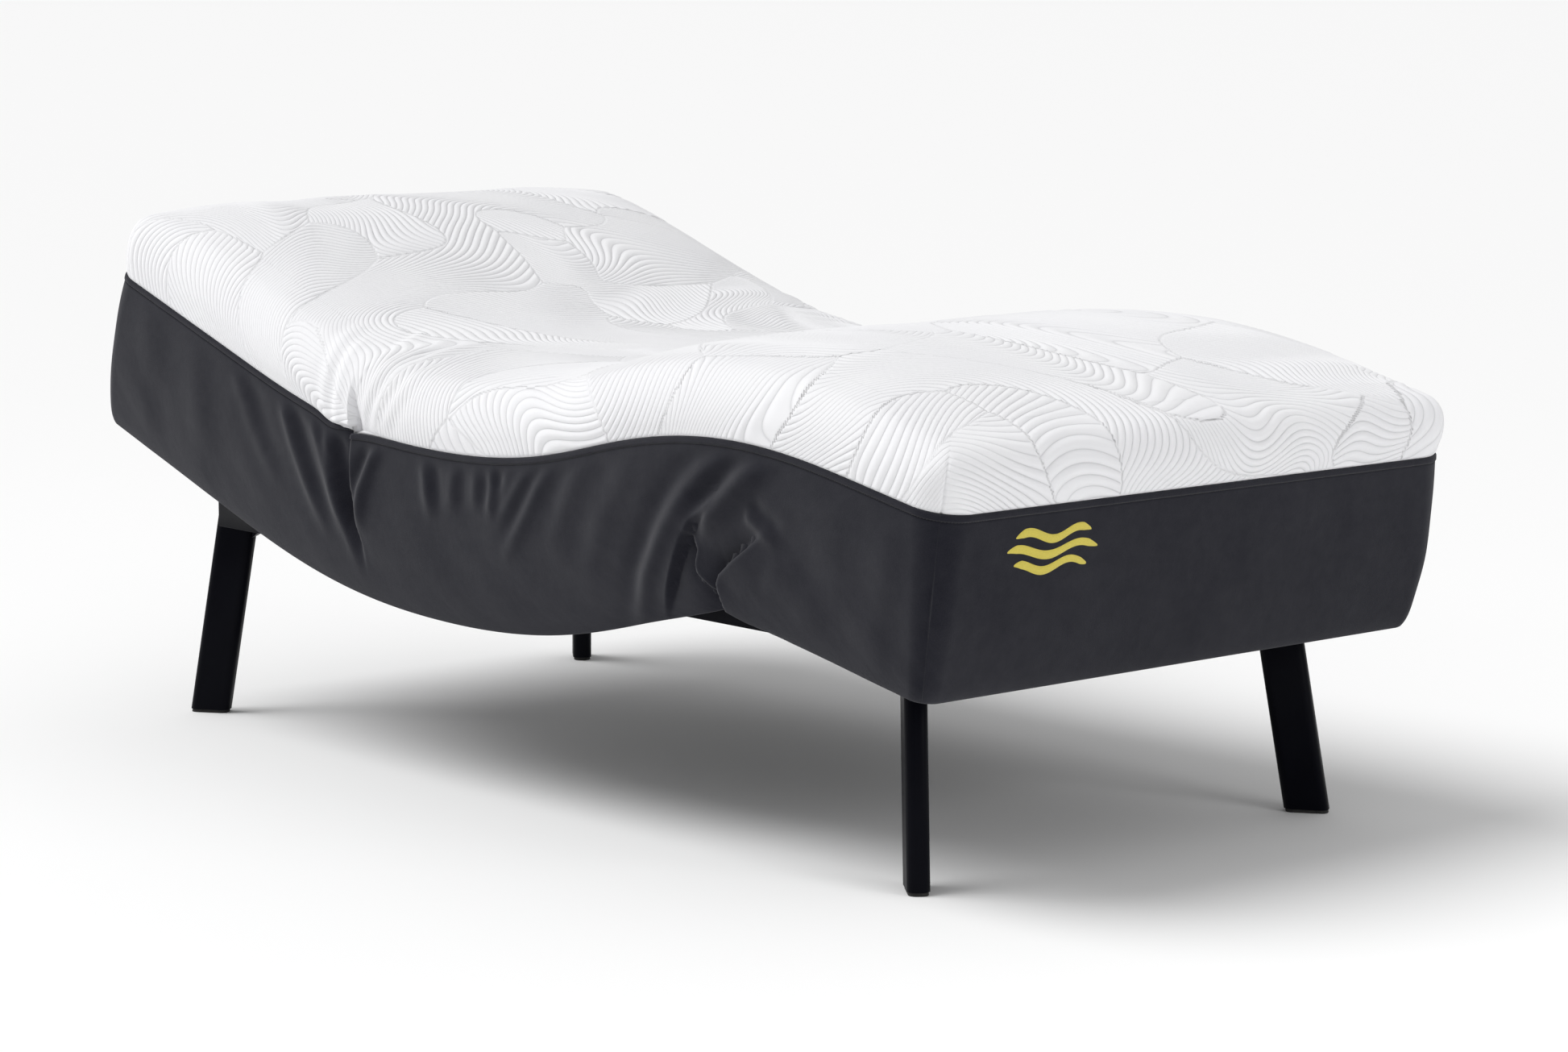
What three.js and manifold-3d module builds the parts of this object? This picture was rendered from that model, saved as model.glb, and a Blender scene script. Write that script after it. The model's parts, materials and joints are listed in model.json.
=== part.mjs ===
// Adjustable single bed: a steel base with a fixed seat, a back section, a thigh section and a foot
// section that follows the thigh, two linear drives, and an upholstered mattress in four blocks.
// Millimetres. +Y runs to the head end, +X to the right as seen from the foot end, +Z up.
// The origin is on the floor under the middle of the bed. The sections stand raised, as in use.
import * as THREE from 'three';
import { mergeVertices } from 'three/addons/utils/BufferGeometryUtils.js';
import Module from 'manifold-3d';

const wasm = await Module();
wasm.setup();

// Fits
const touch = 0.3; // between pieces that meet
const bearing = 0.4; // radial play of a rod in a hole
const hingePlay = 2; // from a hinge plane to the end of a mattress block or border panel
const panelPlay = 4; // more than that for border panels, which are stiffer

// Sections, measured along the bed from hinge to hinge
const bedWidth = 1000;
const backLength = 722;
const seatLength = 440;
const thighLength = 448;
const footLength = 421;
const seatToFoot = 140; // the thigh hinge stands this far to the foot side of the origin
const hingeHeight = 370;

// Angles in degrees: how far each section is raised here, and how far it can go
const backRest = 18.4;
const backMax = 60;
const thighRest = 12.5;
const thighMax = 30;
const kneeRatio = 1.864; // bend at the knee for each degree of thigh lift
const hingeMargin = 1; // added to each half angle that a block is cut back by, in degrees

// Base frame
const railHeight = 40;
const railWidth = 25;
const railLength = 1544;
const railBottom = 320;
const railOuter = 420; // outer face, from the middle of the bed
const wall = 2; // of every steel tube
const crossHeight = 30;
const crossWidth = 30;
const crossBottom = 322;
const endCrossY = 738; // of the cross members beside the legs
const midCrossY = 50;
const lugLength = 28; // of the blocks on the rails that hold the hinge rods
const hingeRodRadius = 6;

// Section frames and deck boards
const sectionRailWidth = 20;
const sectionRailHeight = 30;
const sectionRailInner = 428;
const footLugThickness = 6;
const footLugLength = 60;
const kneeGap = 5; // between the thigh rail's round end and the foot rail
const windowHalf = 6; // of the cable window inside each section rail
const deckThickness = 12;
const deckCorner = 8;
const deckSetback = 18; // board end to hinge axis, where the sections fold up
const kneeSetback = 6;
const liftBarSize = 24;
const liftBarReach = 65; // from the hinge axis to the middle of the bar

// Drives. Each has its lever's angle from straight down in the flat section, the rod's travel in mm for each
// radian of lift, and how far its pin strays sideways in the slot. Places along the drive are from its hinge:
// the tube's front end, the tube's length, and the rear pin.
const driveX = 100;
const leverDrop = 100; // drive line below the hinge axes
const rodPinRadius = 6;
const hornThickness = 6;
const hornPitch = 40; // between the middles of a horn's two plates
const hornHalfWidth = 16;
const rodRadius = 11;
const rodEyeRadius = 15;
const rodEyeWidth = 28;
const rodRearPlay = 6; // from the gearbox to the rod's end, with the section flat
const tubeRadius = 22;
const tubePlay = 1.6; // round the rod inside the tube
const gearboxLength = 90;
const gearboxWidth = 80;
const gearboxHeight = 70;
const gearboxCorner = 12;
const motorRadius = 28;
const motorLength = 130;
const mountPinRadius = 5;
const mountLugRadius = 12;
const mountLugWall = 9; // of steel round the pin's bore in an ear
const saddleWall = 7; // round the clamped tube
const pinEnd = 4; // a pin's or hinge rod's end past the piece that it goes through
const earPitch = 44;
const earThickness = 5;
const backDrive = { lever: -28.015, ratio: 106.3, sideways: 1.9, tubeFront: -100, tube: 310, mount: -550 };
const legDrive = { lever: -14.44, ratio: 101.6, sideways: 0.3, tubeFront: -65, tube: 200, mount: -395 };

// Legs, splayed outwards along the diagonals
const legLength = 66;
const legThickness = 32;
const legCorner = 13;
const legTop = 329;
const legFootX = 388; // middle of a leg at the floor
const legFootY = 855;
const legTurn = 53.8; // direction of the splay from the X axis, in degrees
const legSplay = 9.54; // from the vertical
const padThickness = 5;
const padInset = 2;
const bracketPlate = 6;
const bracketReach = 47; // of the plate past its cross member
const capHeight = 22; // of the leg's cap over the plate's underside
const gussetDrop = 36;
const gussetReach = 15;
const boltRadius = 7; // of the hexagon head over each bracket
const boltHeight = 5;

// Upholstery, heights from the hinge axes
const borderBottom = -113;
const borderTop = 147;
const borderThickness = 12;
const borderTaper = 15; // how far the border leans in at its bottom edge
const padShoulder = 226; // top of the mattress at its edge
const padCrown = 262; // and along its middle
const padBulge = 4; // of the mattress past its border
const endRound = 34; // how far the mattress's top edge lies back from its ends

// Control box
const controlX = 270;
const controlWidth = 140;
const controlHeight = 45;
const controlCorner = 8;
const inletDepth = 16;
const inletWidth = 24; // of its recess
const inletHeight = 15;
const inletWall = 4;

const rad = THREE.MathUtils.degToRad;
const backHingeY = seatLength - seatToFoot;
const thighHingeY = -seatToFoot;
const kneeRest = thighRest * kneeRatio;
const kneeMax = thighMax * kneeRatio;
const driveZ = hingeHeight - leverDrop;
const deckBottom = sectionRailHeight / 2; // deck boards lie on the section rails
const deckTop = deckBottom + deckThickness;

const finishes = {
  blackSteel: [0x15161a, 0.45, 0.6],
  zincSteel: [0xa9acb0, 0.35, 0.9],
  aluminium: [0xb9bcc0, 0.4, 0.9],
  plastic: [0x1b1c1f, 0.6, 0],
  rubber: [0x101010, 0.9, 0],
  board: [0x3a3b3d, 0.95, 0],
  border: [0x37383c, 0.95, 0],
  topCover: [0xeeeef0, 0.85, 0],
};

const addMesh = (group, name, geometry, finish) => {
  const [color, roughness, metalness] = finishes[finish];
  const mesh = new THREE.Mesh(geometry, new THREE.MeshStandardMaterial({ color, roughness, metalness }));
  mesh.name = name;
  group.add(mesh);
  return mesh;
};

// Solids and booleans
const toSolid = (geometry) => {
  const bare = geometry.clone();
  bare.deleteAttribute('normal');
  bare.deleteAttribute('uv');
  const merged = mergeVertices(bare, 1e-4);
  return new wasm.Manifold(new wasm.Mesh({
    numProp: 3,
    vertProperties: new Float32Array(merged.attributes.position.array),
    triVerts: new Uint32Array(merged.index.array),
  }));
};

const toGeometry = (solid) => {
  const mesh = solid.getMesh();
  const geometry = new THREE.BufferGeometry();
  geometry.setAttribute('position', new THREE.BufferAttribute(new Float32Array(mesh.vertProperties), 3));
  geometry.setIndex(new THREE.BufferAttribute(new Uint32Array(mesh.triVerts), 1));
  geometry.computeVertexNormals();
  return geometry;
};

const combine = (first, { add = [], cut = [] }) => {
  let solid = toSolid(first);
  for (const geometry of add) solid = solid.add(toSolid(geometry));
  for (const geometry of cut) solid = solid.subtract(toSolid(geometry));
  return toGeometry(solid);
};

const box = (x0, x1, y0, y1, z0, z1) => {
  const geometry = new THREE.BoxGeometry(x1 - x0, y1 - y0, z1 - z0);
  return geometry.translate((x0 + x1) / 2, (y0 + y1) / 2, (z0 + z1) / 2);
};

const rodX = (radius, x0, x1, y = 0, z = 0, sides = 32) => {
  const geometry = new THREE.CylinderGeometry(radius, radius, x1 - x0, sides);
  return geometry.rotateZ(Math.PI / 2).translate((x0 + x1) / 2, y, z);
};

const rodY = (radius, y0, y1, x = 0, z = 0, sides = 36) => {
  const geometry = new THREE.CylinderGeometry(radius, radius, y1 - y0, sides);
  return geometry.translate(x, (y0 + y1) / 2, z);
};

const roundedRectangle = (width, depth, corner) => {
  const [x, y] = [width / 2, depth / 2];
  const shape = new THREE.Shape();
  shape.moveTo(x, corner - y);
  shape.lineTo(x, y - corner);
  shape.absarc(x - corner, y - corner, corner, 0, Math.PI / 2);
  shape.absarc(corner - x, y - corner, corner, Math.PI / 2, Math.PI);
  shape.absarc(corner - x, corner - y, corner, Math.PI, 1.5 * Math.PI);
  shape.absarc(x - corner, corner - y, corner, 1.5 * Math.PI, 2 * Math.PI);
  return shape;
};

// A flat shape drawn in (Y, Z), given a thickness along X from x0
const plateYZ = (shape, x0, thickness) => {
  const settings = { depth: thickness, bevelEnabled: false, curveSegments: 10 };
  const geometry = new THREE.ExtrudeGeometry(shape, settings);
  return geometry.rotateX(Math.PI / 2).rotateZ(Math.PI / 2).translate(x0, 0, 0);
};

// Turns a piece drawn towards +Y round to -Y, for the sections on the foot side
const face = (geometry, direction) => (direction < 0 ? geometry.rotateZ(Math.PI) : geometry);

// A stadium: two half circles of one radius joined by straight sides, in (Y, Z)
const stadium = (from, to, radius) => {
  const angle = Math.atan2(to.y - from.y, to.x - from.x);
  const shape = new THREE.Shape();
  shape.absarc(to.x, to.y, radius, angle - Math.PI / 2, angle + Math.PI / 2);
  shape.absarc(from.x, from.y, radius, angle + Math.PI / 2, angle + 1.5 * Math.PI);
  shape.closePath();
  return shape;
};

// Legs: an oval tube sheared along the splay, a glide under it and a bracket over it
const splayedTube = (width, depth, corner, bottom, top, hollow) => {
  const shape = roundedRectangle(width, depth, corner);
  if (hollow) shape.holes.push(roundedRectangle(width - 2 * wall, depth - 2 * wall, corner - wall));
  const settings = { depth: top - bottom, bevelEnabled: false, curveSegments: 7 };
  const geometry = new THREE.ExtrudeGeometry(shape, settings);
  const lean = new THREE.Matrix4().makeShear(0, 0, 0, 0, -Math.tan(rad(legSplay)), 0);
  return geometry.translate(0, 0, bottom).applyMatrix4(lean);
};

const makeLegs = (group) => {
  for (const [end, endSign] of [['head', 1], ['foot', -1]]) {
    for (const [side, sideSign] of [['left', -1], ['right', 1]]) {
      const turn = Math.atan2(endSign * Math.sin(rad(legTurn)), sideSign * Math.cos(rad(legTurn)));
      const leg = new THREE.Group();
      leg.position.set(sideSign * legFootX, endSign * legFootY, 0);
      leg.rotation.z = turn;
      group.add(leg);
      const tubeBottom = padThickness + touch;
      const tube = splayedTube(legLength, legThickness, legCorner, tubeBottom, legTop, true);
      addMesh(leg, `leg_${end}_${side}`, tube, 'blackSteel');
      const padCorner = legCorner - padInset;
      const padSize = [legLength - 2 * padInset, legThickness - 2 * padInset];
      const pad = splayedTube(padSize[0], padSize[1], padCorner, 0, padThickness, false);
      addMesh(leg, `leg_pad_${end}_${side}`, pad, 'rubber');
      addMesh(group, `leg_bracket_${end}_${side}`, makeBracket(sideSign, endSign, turn), 'blackSteel');
    }
  }
};

// A plate in the frame's corner, a cap that continues the leg, and a chamfered gusset at its inner edge
const makeBracket = (sideSign, endSign, turn) => {
  const plateBottom = legTop + touch;
  const plateTop = plateBottom + bracketPlate;
  const capTop = plateBottom + capHeight;
  const lean = capTop * Math.tan(rad(legSplay));
  const middleX = legFootX - lean * Math.cos(rad(legTurn));
  const middleY = legFootY - lean * Math.sin(rad(legTurn));
  const innerX = middleX - legLength / 2;
  const outerX = railOuter - railWidth - touch;
  const innerY = endCrossY + crossWidth / 2 + touch;
  const outerY = innerY + bracketReach;
  const xs = [sideSign * innerX, sideSign * outerX].sort((a, b) => a - b);
  const ys = [endSign * innerY, endSign * outerY].sort((a, b) => a - b);
  const plate = box(xs[0], xs[1], ys[0], ys[1], plateBottom, plateTop);
  const edge = -legLength / 2 - touch; // inner edge of the leg, along its splay
  const slope = Math.tan(rad(legSplay));
  const legEdge = (height) => edge - slope * height;
  const weldTop = plateBottom + bracketPlate / 2;
  const gusset = new THREE.Shape();
  gusset.moveTo(legEdge(weldTop), weldTop);
  gusset.lineTo(legEdge(weldTop) - gussetReach, weldTop);
  gusset.lineTo(legEdge(weldTop) - gussetReach, plateBottom - gussetDrop / 2);
  gusset.lineTo(legEdge(plateBottom - gussetDrop), plateBottom - gussetDrop);
  const block = new THREE.ExtrudeGeometry(gusset, { depth: legThickness, bevelEnabled: false });
  block.rotateX(Math.PI / 2).translate(0, legThickness / 2, 0).rotateZ(turn);
  block.translate(sideSign * legFootX, endSign * legFootY, 0);
  const cap = splayedTube(legLength, legThickness, legCorner, plateBottom, capTop, false);
  cap.rotateZ(turn).translate(sideSign * legFootX, endSign * legFootY, 0);
  const bolt = new THREE.CylinderGeometry(boltRadius, boltRadius, boltHeight, 6).rotateX(Math.PI / 2);
  bolt.translate(sideSign * middleX, endSign * middleY, capTop + boltHeight / 2 - touch);
  return combine(plate, { add: [block, cap, bolt] });
};

// Base frame
const makeRails = (group) => {
  for (const [side, sign] of [['left', -1], ['right', 1]]) {
    const inner = railOuter - railWidth;
    const xs = [sign * inner, sign * railOuter].sort((a, b) => a - b);
    const railTop = railBottom + railHeight;
    const half = railLength / 2;
    const hollow = box(xs[0] + wall, xs[1] - wall, -half - 1, half + 1, railBottom + wall, railTop - wall);
    const lugTop = hingeHeight + deckBottom - touch;
    const lugs = [backHingeY, thighHingeY].map((y) => (
      box(xs[0], xs[1], y - lugLength / 2, y + lugLength / 2, railTop - wall / 2, lugTop)
    ));
    const bores = [backHingeY, thighHingeY].map((y) => (
      rodX(hingeRodRadius + bearing, xs[0] - 1, xs[1] + 1, y, hingeHeight)
    ));
    const rail = combine(box(xs[0], xs[1], -half, half, railBottom, railTop), { cut: [hollow] });
    addMesh(group, `side_rail_${side}`, combine(rail, { add: lugs, cut: bores }), 'blackSteel');
  }
};

const crossTube = (y) => {
  const half = railOuter - railWidth - touch;
  const [y0, y1] = [y - crossWidth / 2, y + crossWidth / 2];
  const [z0, z1] = [crossBottom, crossBottom + crossHeight];
  const hollow = box(-half - 1, half + 1, y0 + wall, y1 - wall, z0 + wall, z1 - wall);
  return combine(box(-half, half, y0, y1, z0, z1), { cut: [hollow] });
};

// Two ears under a cross member that hold the rear pin of a drive
const ears = (x, y) => [-1, 1].map((sign) => {
  const middle = x + sign * earPitch / 2;
  const [halfX, halfY] = [earThickness / 2, crossWidth / 2];
  const bottom = driveZ - mountPinRadius - mountLugWall;
  return box(middle - halfX, middle + halfX, y - halfY, y + halfY, bottom, crossBottom + wall / 2);
});

// A saddle under the middle cross member that clamps a drive's tube
const saddle = (x) => {
  const half = tubeRadius + saddleWall;
  const halfY = crossWidth / 2;
  return box(x - half, x + half, midCrossY - halfY, midCrossY + halfY, driveZ - half, crossBottom + wall / 2);
};

const makeCrossMembers = (group) => {
  addMesh(group, 'cross_member_head', crossTube(endCrossY), 'blackSteel');
  addMesh(group, 'cross_member_foot', crossTube(-endCrossY), 'blackSteel');
  const clamps = [driveX, -driveX];
  const tubeHoles = clamps.map((x) => (
    rodY(tubeRadius + touch, midCrossY - crossWidth, midCrossY + crossWidth, x, driveZ)
  ));
  const middle = combine(crossTube(midCrossY), { add: clamps.map(saddle), cut: tubeHoles });
  addMesh(group, 'cross_member_middle', middle, 'blackSteel');
  const mounts = [
    ['cross_member_back_drive', driveX, backHingeY + backDrive.mount],
    ['cross_member_leg_drive', -driveX, thighHingeY - legDrive.mount],
  ];
  for (const [name, x, y] of mounts) {
    const bore = rodX(mountPinRadius + touch, x - earPitch, x + earPitch, y, driveZ);
    addMesh(group, name, combine(crossTube(y), { add: ears(x, y), cut: [bore] }), 'blackSteel');
  }
};

const hingeRod = (group, name, y, z) => {
  const half = sectionRailInner + sectionRailWidth + pinEnd;
  addMesh(group, name, rodX(hingeRodRadius, -half, half, y, z), 'zincSteel');
};

// Drives: gearbox with motor, outer tube, rod with an eye, and the pins at both ends
const pinAtRest = (drive, rest) => leverDrop * Math.tan(rad(drive.lever + rest));
const travel = (drive, degrees) => drive.ratio * rad(degrees);

const makeDrive = (group, name, drive, hingeY, direction, rest) => {
  const frame = new THREE.Group();
  frame.position.set(direction * driveX, hingeY, driveZ);
  frame.rotation.z = direction > 0 ? 0 : Math.PI;
  group.add(frame);
  const tubeRear = drive.tubeFront - drive.tube;
  const boreRadius = rodRadius + tubePlay;
  const tube = combine(rodY(tubeRadius, tubeRear, drive.tubeFront), { cut: [
    rodY(boreRadius, tubeRear - 1, drive.tubeFront + 1),
  ] });
  addMesh(frame, `${name}_drive_tube`, tube, 'aluminium');

  const gearFront = tubeRear - touch;
  const gearRear = gearFront - gearboxLength;
  const [halfX, halfZ] = [gearboxWidth / 2, gearboxHeight / 2];
  const housing = roundedRectangle(gearboxLength, gearboxHeight, gearboxCorner);
  const gearbox = plateYZ(housing, -halfX, gearboxWidth).translate(0, (gearFront + gearRear) / 2, 0);
  const motorY = gearRear + gearboxLength / 2;
  const motor = rodX(motorRadius, halfX - gearboxCorner / 2, halfX + motorLength, motorY, 0, 40);
  const lugHalf = earPitch / 2 - earThickness / 2 - touch;
  const lugRoot = { x: gearRear + mountLugRadius / 2, y: 0 };
  const lugOutline = stadium({ x: drive.mount, y: 0 }, lugRoot, mountLugRadius);
  const lug = plateYZ(lugOutline, -lugHalf, 2 * lugHalf);
  const lugBore = rodX(mountPinRadius + touch, -halfX, halfX, drive.mount, 0);
  const housingSolid = combine(gearbox, { add: [motor, lug], cut: [lugBore] });
  addMesh(frame, `${name}_drive_motor`, housingSolid, 'plastic');
  const mountHalf = earPitch / 2 + earThickness / 2 + pinEnd;
  const mountPin = rodX(mountPinRadius, -mountHalf, mountHalf, drive.mount, 0);
  addMesh(frame, `${name}_drive_mount_pin`, mountPin, 'zincSteel');

  const pinY = pinAtRest(drive, rest);
  const rodRear = tubeRear + travel(drive, rest) + rodRearPlay;
  const eye = rodX(rodEyeRadius, -rodEyeWidth / 2, rodEyeWidth / 2, pinY, 0);
  const rod = combine(rodY(rodRadius, rodRear, pinY), { add: [eye], cut: [
    rodX(rodPinRadius + touch, -rodEyeWidth, rodEyeWidth, pinY, 0),
  ] });
  addMesh(frame, `${name}_drive_rod`, rod, 'zincSteel');
  const pinHalf = hornPitch / 2 + hornThickness / 2 + pinEnd;
  addMesh(frame, `${name}_drive_rod_pin`, rodX(rodPinRadius, -pinHalf, pinHalf, pinY, 0), 'zincSteel');
};

// Bar across a section with two slotted horn plates that the drive's rod pin pushes on.
// The slot points at the hinge, so the pin keeps level while the section turns.
const makeLiftBar = (drive, direction, max) => {
  const half = sectionRailInner - touch;
  const [y0, y1] = [liftBarReach - liftBarSize / 2, liftBarReach + liftBarSize / 2];
  const z1 = deckBottom - touch; // the bar lies against the deck board, and clears the side rails when flat
  const z0 = z1 - liftBarSize;
  const hollow = box(-half - 1, half + 1, y0 + wall, y1 - wall, z0 + wall, z1 - wall);
  const angle = rad(drive.lever - 90);
  const longest = Math.max(Math.abs(drive.lever), Math.abs(drive.lever + max));
  const slotStart = leverDrop;
  const slotEnd = leverDrop / Math.cos(rad(longest));
  const along = (r) => ({ x: r * Math.cos(angle), y: r * Math.sin(angle) });
  const slotRadius = rodPinRadius + drive.sideways + touch;
  const adds = [];
  const hornReach = liftBarSize / 2 + hornHalfWidth;
  const aboveBar = box(-half, half, liftBarReach - hornReach, liftBarReach + hornReach, z1, z1 + hornReach);
  const cuts = [hollow, aboveBar];
  for (const sign of [-1, 1]) {
    const x0 = driveX + sign * hornPitch / 2 - hornThickness / 2;
    const arm = stadium({ x: liftBarReach, y: 0 }, along(slotStart), hornHalfWidth);
    const tip = stadium(along(slotStart), along(slotEnd), hornHalfWidth);
    adds.push(plateYZ(arm, x0, hornThickness), plateYZ(tip, x0, hornThickness));
    cuts.push(plateYZ(stadium(along(slotStart), along(slotEnd), slotRadius), x0 - 1, hornThickness + 2));
  }
  return face(combine(box(-half, half, y0, y1, z0, z1), { add: adds, cut: cuts }), direction);
};

// Section frames
const sectionRail = (x0, length, farHole) => {
  const z = sectionRailHeight / 2;
  const outline = stadium({ x: 0, y: 0 }, { x: length, y: 0 }, z);
  const rail = plateYZ(outline, x0, sectionRailWidth);
  const start = 2 * z;
  const end = farHole ? length - 2 * z : length + z + 1;
  const hollow = box(x0 + wall, x0 + sectionRailWidth - wall, start, end, wall - z, z - wall);
  const windowStart = start + sectionRailWidth;
  const windowEnd = windowStart + sectionRailHeight;
  const window = box(x0 - 1, x0 + sectionRailWidth / 2, windowStart, windowEnd, -windowHalf, windowHalf);
  const cuts = [hollow, window, rodX(hingeRodRadius + bearing, x0 - 1, x0 + sectionRailWidth + 1)];
  if (farHole) cuts.push(rodX(hingeRodRadius + bearing, x0 - 1, x0 + sectionRailWidth + 1, length));
  if (!farHole) cuts.push(box(x0 - 1, x0 + sectionRailWidth + 1, length, length + 2 * z, -z - 1, z + 1));
  return combine(rail, { cut: cuts });
};

// The foot section's rail stops short of the knee, and a thin lug inside the thigh rail reaches it
const footRail = (x0, length) => {
  const z = sectionRailHeight / 2;
  const start = z + kneeGap;
  const rail = box(x0, x0 + sectionRailWidth, start, length, -z, z);
  const hollow = box(x0 + wall, x0 + sectionRailWidth - wall, start + wall, length + 1, wall - z, z - wall);
  const lugX = x0 - touch - footLugThickness;
  const lugOutline = stadium({ x: 0, y: 0 }, { x: footLugLength, y: 0 }, z - 1);
  const lug = plateYZ(lugOutline, lugX, footLugThickness);
  const weld = box(lugX + 1, x0 + 1, start + wall / 2, footLugLength, -z / 2, z / 2);
  const hole = rodX(hingeRodRadius + bearing, lugX - 1, x0, 0, 0);
  return combine(combine(rail, { cut: [hollow] }), { add: [lug, weld], cut: [hole] });
};

const deckBoard = (start, end, halfWidth) => {
  const shape = roundedRectangle(2 * halfWidth, end - start, deckCorner);
  const settings = { depth: deckThickness, bevelEnabled: false, curveSegments: 3 };
  const geometry = new THREE.ExtrudeGeometry(shape, settings);
  return geometry.translate(0, (start + end) / 2, deckBottom + touch);
};

// Upholstery. A block is a cross-section in (X, height) run along the section, and each end follows
// a line of its own, so that the ends can lean away from a hinge.
const leaningBlock = (outline, startAt, endAt) => {
  const shape = new THREE.Shape(outline.map(([x, height]) => new THREE.Vector2(x, height)));
  const geometry = new THREE.ExtrudeGeometry(shape, { depth: 1, bevelEnabled: false });
  const position = geometry.attributes.position;
  for (let i = 0; i < position.count; i += 1) {
    const height = position.getY(i);
    const along = THREE.MathUtils.lerp(endAt(height), startAt(height), position.getZ(i));
    position.setXYZ(i, position.getX(i), along, height);
  }
  geometry.computeVertexNormals();
  return geometry;
};

// How far a block's end stands from the hinge plane: it leans back above a hinge that folds up, and
// below a hinge that folds down
const foldUp = (fullAngle, play) => (height) => (
  play + Math.max(height, 0) * Math.tan(rad(fullAngle / 2 + hingeMargin))
);
const foldDown = (fullAngle, play) => (height) => (
  play + Math.max(-height, 0) * Math.tan(rad(fullAngle / 2 + hingeMargin))
);
const squareEnd = (length) => () => length;
const roundedEnd = (length) => (height) => {
  const over = Math.max(height - borderTop, 0) / (padCrown - borderTop);
  return length - endRound * over * over;
};
const fromFarEnd = (length, line) => (height) => length - line(height);

const borderOuter = (height) => (
  bedWidth / 2 - borderTaper * (borderTop - height) / (borderTop - borderBottom)
);
const coreHalf = (height) => borderOuter(height) - borderThickness - touch;

const coreOutline = () => [
  [coreHalf(deckTop), deckTop + 2 * touch],
  [coreHalf(borderTop), borderTop + 2 * touch],
  [-coreHalf(borderTop), borderTop + 2 * touch],
  [-coreHalf(deckTop), deckTop + 2 * touch],
];

const padOutline = () => {
  const half = bedWidth / 2;
  const rise = padShoulder - borderTop;
  const right = [
    [half, borderTop + touch],
    [half + padBulge, borderTop + 0.35 * rise],
    [half + 0.5 * padBulge, borderTop + 0.65 * rise],
    [half - 0.12 * rise, borderTop + 0.9 * rise],
    [half - 0.45 * rise, padShoulder],
    [half - 0.35 * half, padShoulder + 0.8 * (padCrown - padShoulder)],
  ];
  const left = right.map(([x, height]) => [-x, height]).reverse();
  return [...right, [0, padCrown], ...left];
};

const sidePanel = (sign, startAt, endAt) => {
  const rows = [borderBottom, 0, borderTop];
  const outer = rows.map((height) => [sign * borderOuter(height), height]);
  const inner = rows.map((height) => [sign * (borderOuter(height) - borderThickness), height]).reverse();
  const outline = [...outer, ...inner];
  return leaningBlock(sign > 0 ? outline : outline.reverse(), startAt, endAt);
};

const endPanel = (length) => {
  const outline = [
    [coreHalf(borderBottom), borderBottom],
    [coreHalf(borderTop), borderTop],
    [-coreHalf(borderTop), borderTop],
    [-coreHalf(borderBottom), borderBottom],
  ];
  return leaningBlock(outline, squareEnd(length - borderThickness), squareEnd(length));
};

const makeUpholstery = (group, name, direction, ends, endLength) => {
  const { start, end, panelStart, panelEnd } = ends;
  const coreEnd = endLength ? squareEnd(endLength - borderThickness - touch) : end;
  const pad = leaningBlock(padOutline(), start, end);
  const mattress = combine(leaningBlock(coreOutline(), start, coreEnd), { add: [pad] });
  addMesh(group, `mattress_${name}`, face(mattress, direction), 'topCover');
  for (const [side, sign] of [['left', -1], ['right', 1]]) {
    const panel = sidePanel(sign * direction, panelStart, panelEnd);
    addMesh(group, `border_${name}_${side}`, face(panel, direction), 'border');
  }
  if (endLength) addMesh(group, `border_${name}_end`, face(endPanel(endLength), direction), 'border');
};

const makeSectionRails = (group, name, direction, railBuilder) => {
  for (const [side, sign] of [['left', -1], ['right', 1]]) {
    const rail = railBuilder(sectionRailInner);
    if (sign * direction < 0) rail.applyMatrix4(new THREE.Matrix4().makeScale(-1, 1, 1));
    if (sign * direction < 0) flipFaces(rail);
    addMesh(group, `${name}_rail_${side}`, face(rail, direction), 'blackSteel');
  }
};

const flipFaces = (geometry) => {
  const index = geometry.index;
  for (let i = 0; i < index.count; i += 3) {
    const second = index.getX(i + 1);
    index.setX(i + 1, index.getX(i + 2));
    index.setX(i + 2, second);
  }
  geometry.computeVertexNormals();
};

const makeBack = () => {
  const group = new THREE.Group();
  group.position.set(0, backHingeY, hingeHeight);
  group.rotation.x = rad(backRest);
  makeSectionRails(group, 'back', 1, (x) => sectionRail(x, backLength - 3 * borderThickness, false));
  addMesh(group, 'back_lift_bar', makeLiftBar(backDrive, 1, backMax), 'blackSteel');
  const boardEnd = backLength - borderThickness - touch;
  addMesh(group, 'deck_back', deckBoard(deckSetback, boardEnd, coreHalf(deckBottom)), 'board');
  makeUpholstery(group, 'back', 1, {
    start: foldUp(backMax, hingePlay),
    end: roundedEnd(backLength),
    panelStart: foldUp(backMax, panelPlay),
    panelEnd: squareEnd(backLength),
  }, backLength);
  return group;
};

const makeFoot = () => {
  const group = new THREE.Group();
  group.position.set(0, -thighLength, 0);
  group.rotation.x = rad(kneeRest);
  makeSectionRails(group, 'foot', -1, (x) => footRail(x, footLength - 3 * borderThickness));
  const boardEnd = footLength - borderThickness - touch;
  const board = deckBoard(kneeSetback, boardEnd, coreHalf(deckBottom));
  addMesh(group, 'deck_foot', face(board, -1), 'board');
  makeUpholstery(group, 'foot', -1, {
    start: foldDown(kneeMax, hingePlay),
    end: roundedEnd(footLength),
    panelStart: foldDown(kneeMax, panelPlay),
    panelEnd: squareEnd(footLength),
  }, footLength);
  return group;
};

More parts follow.
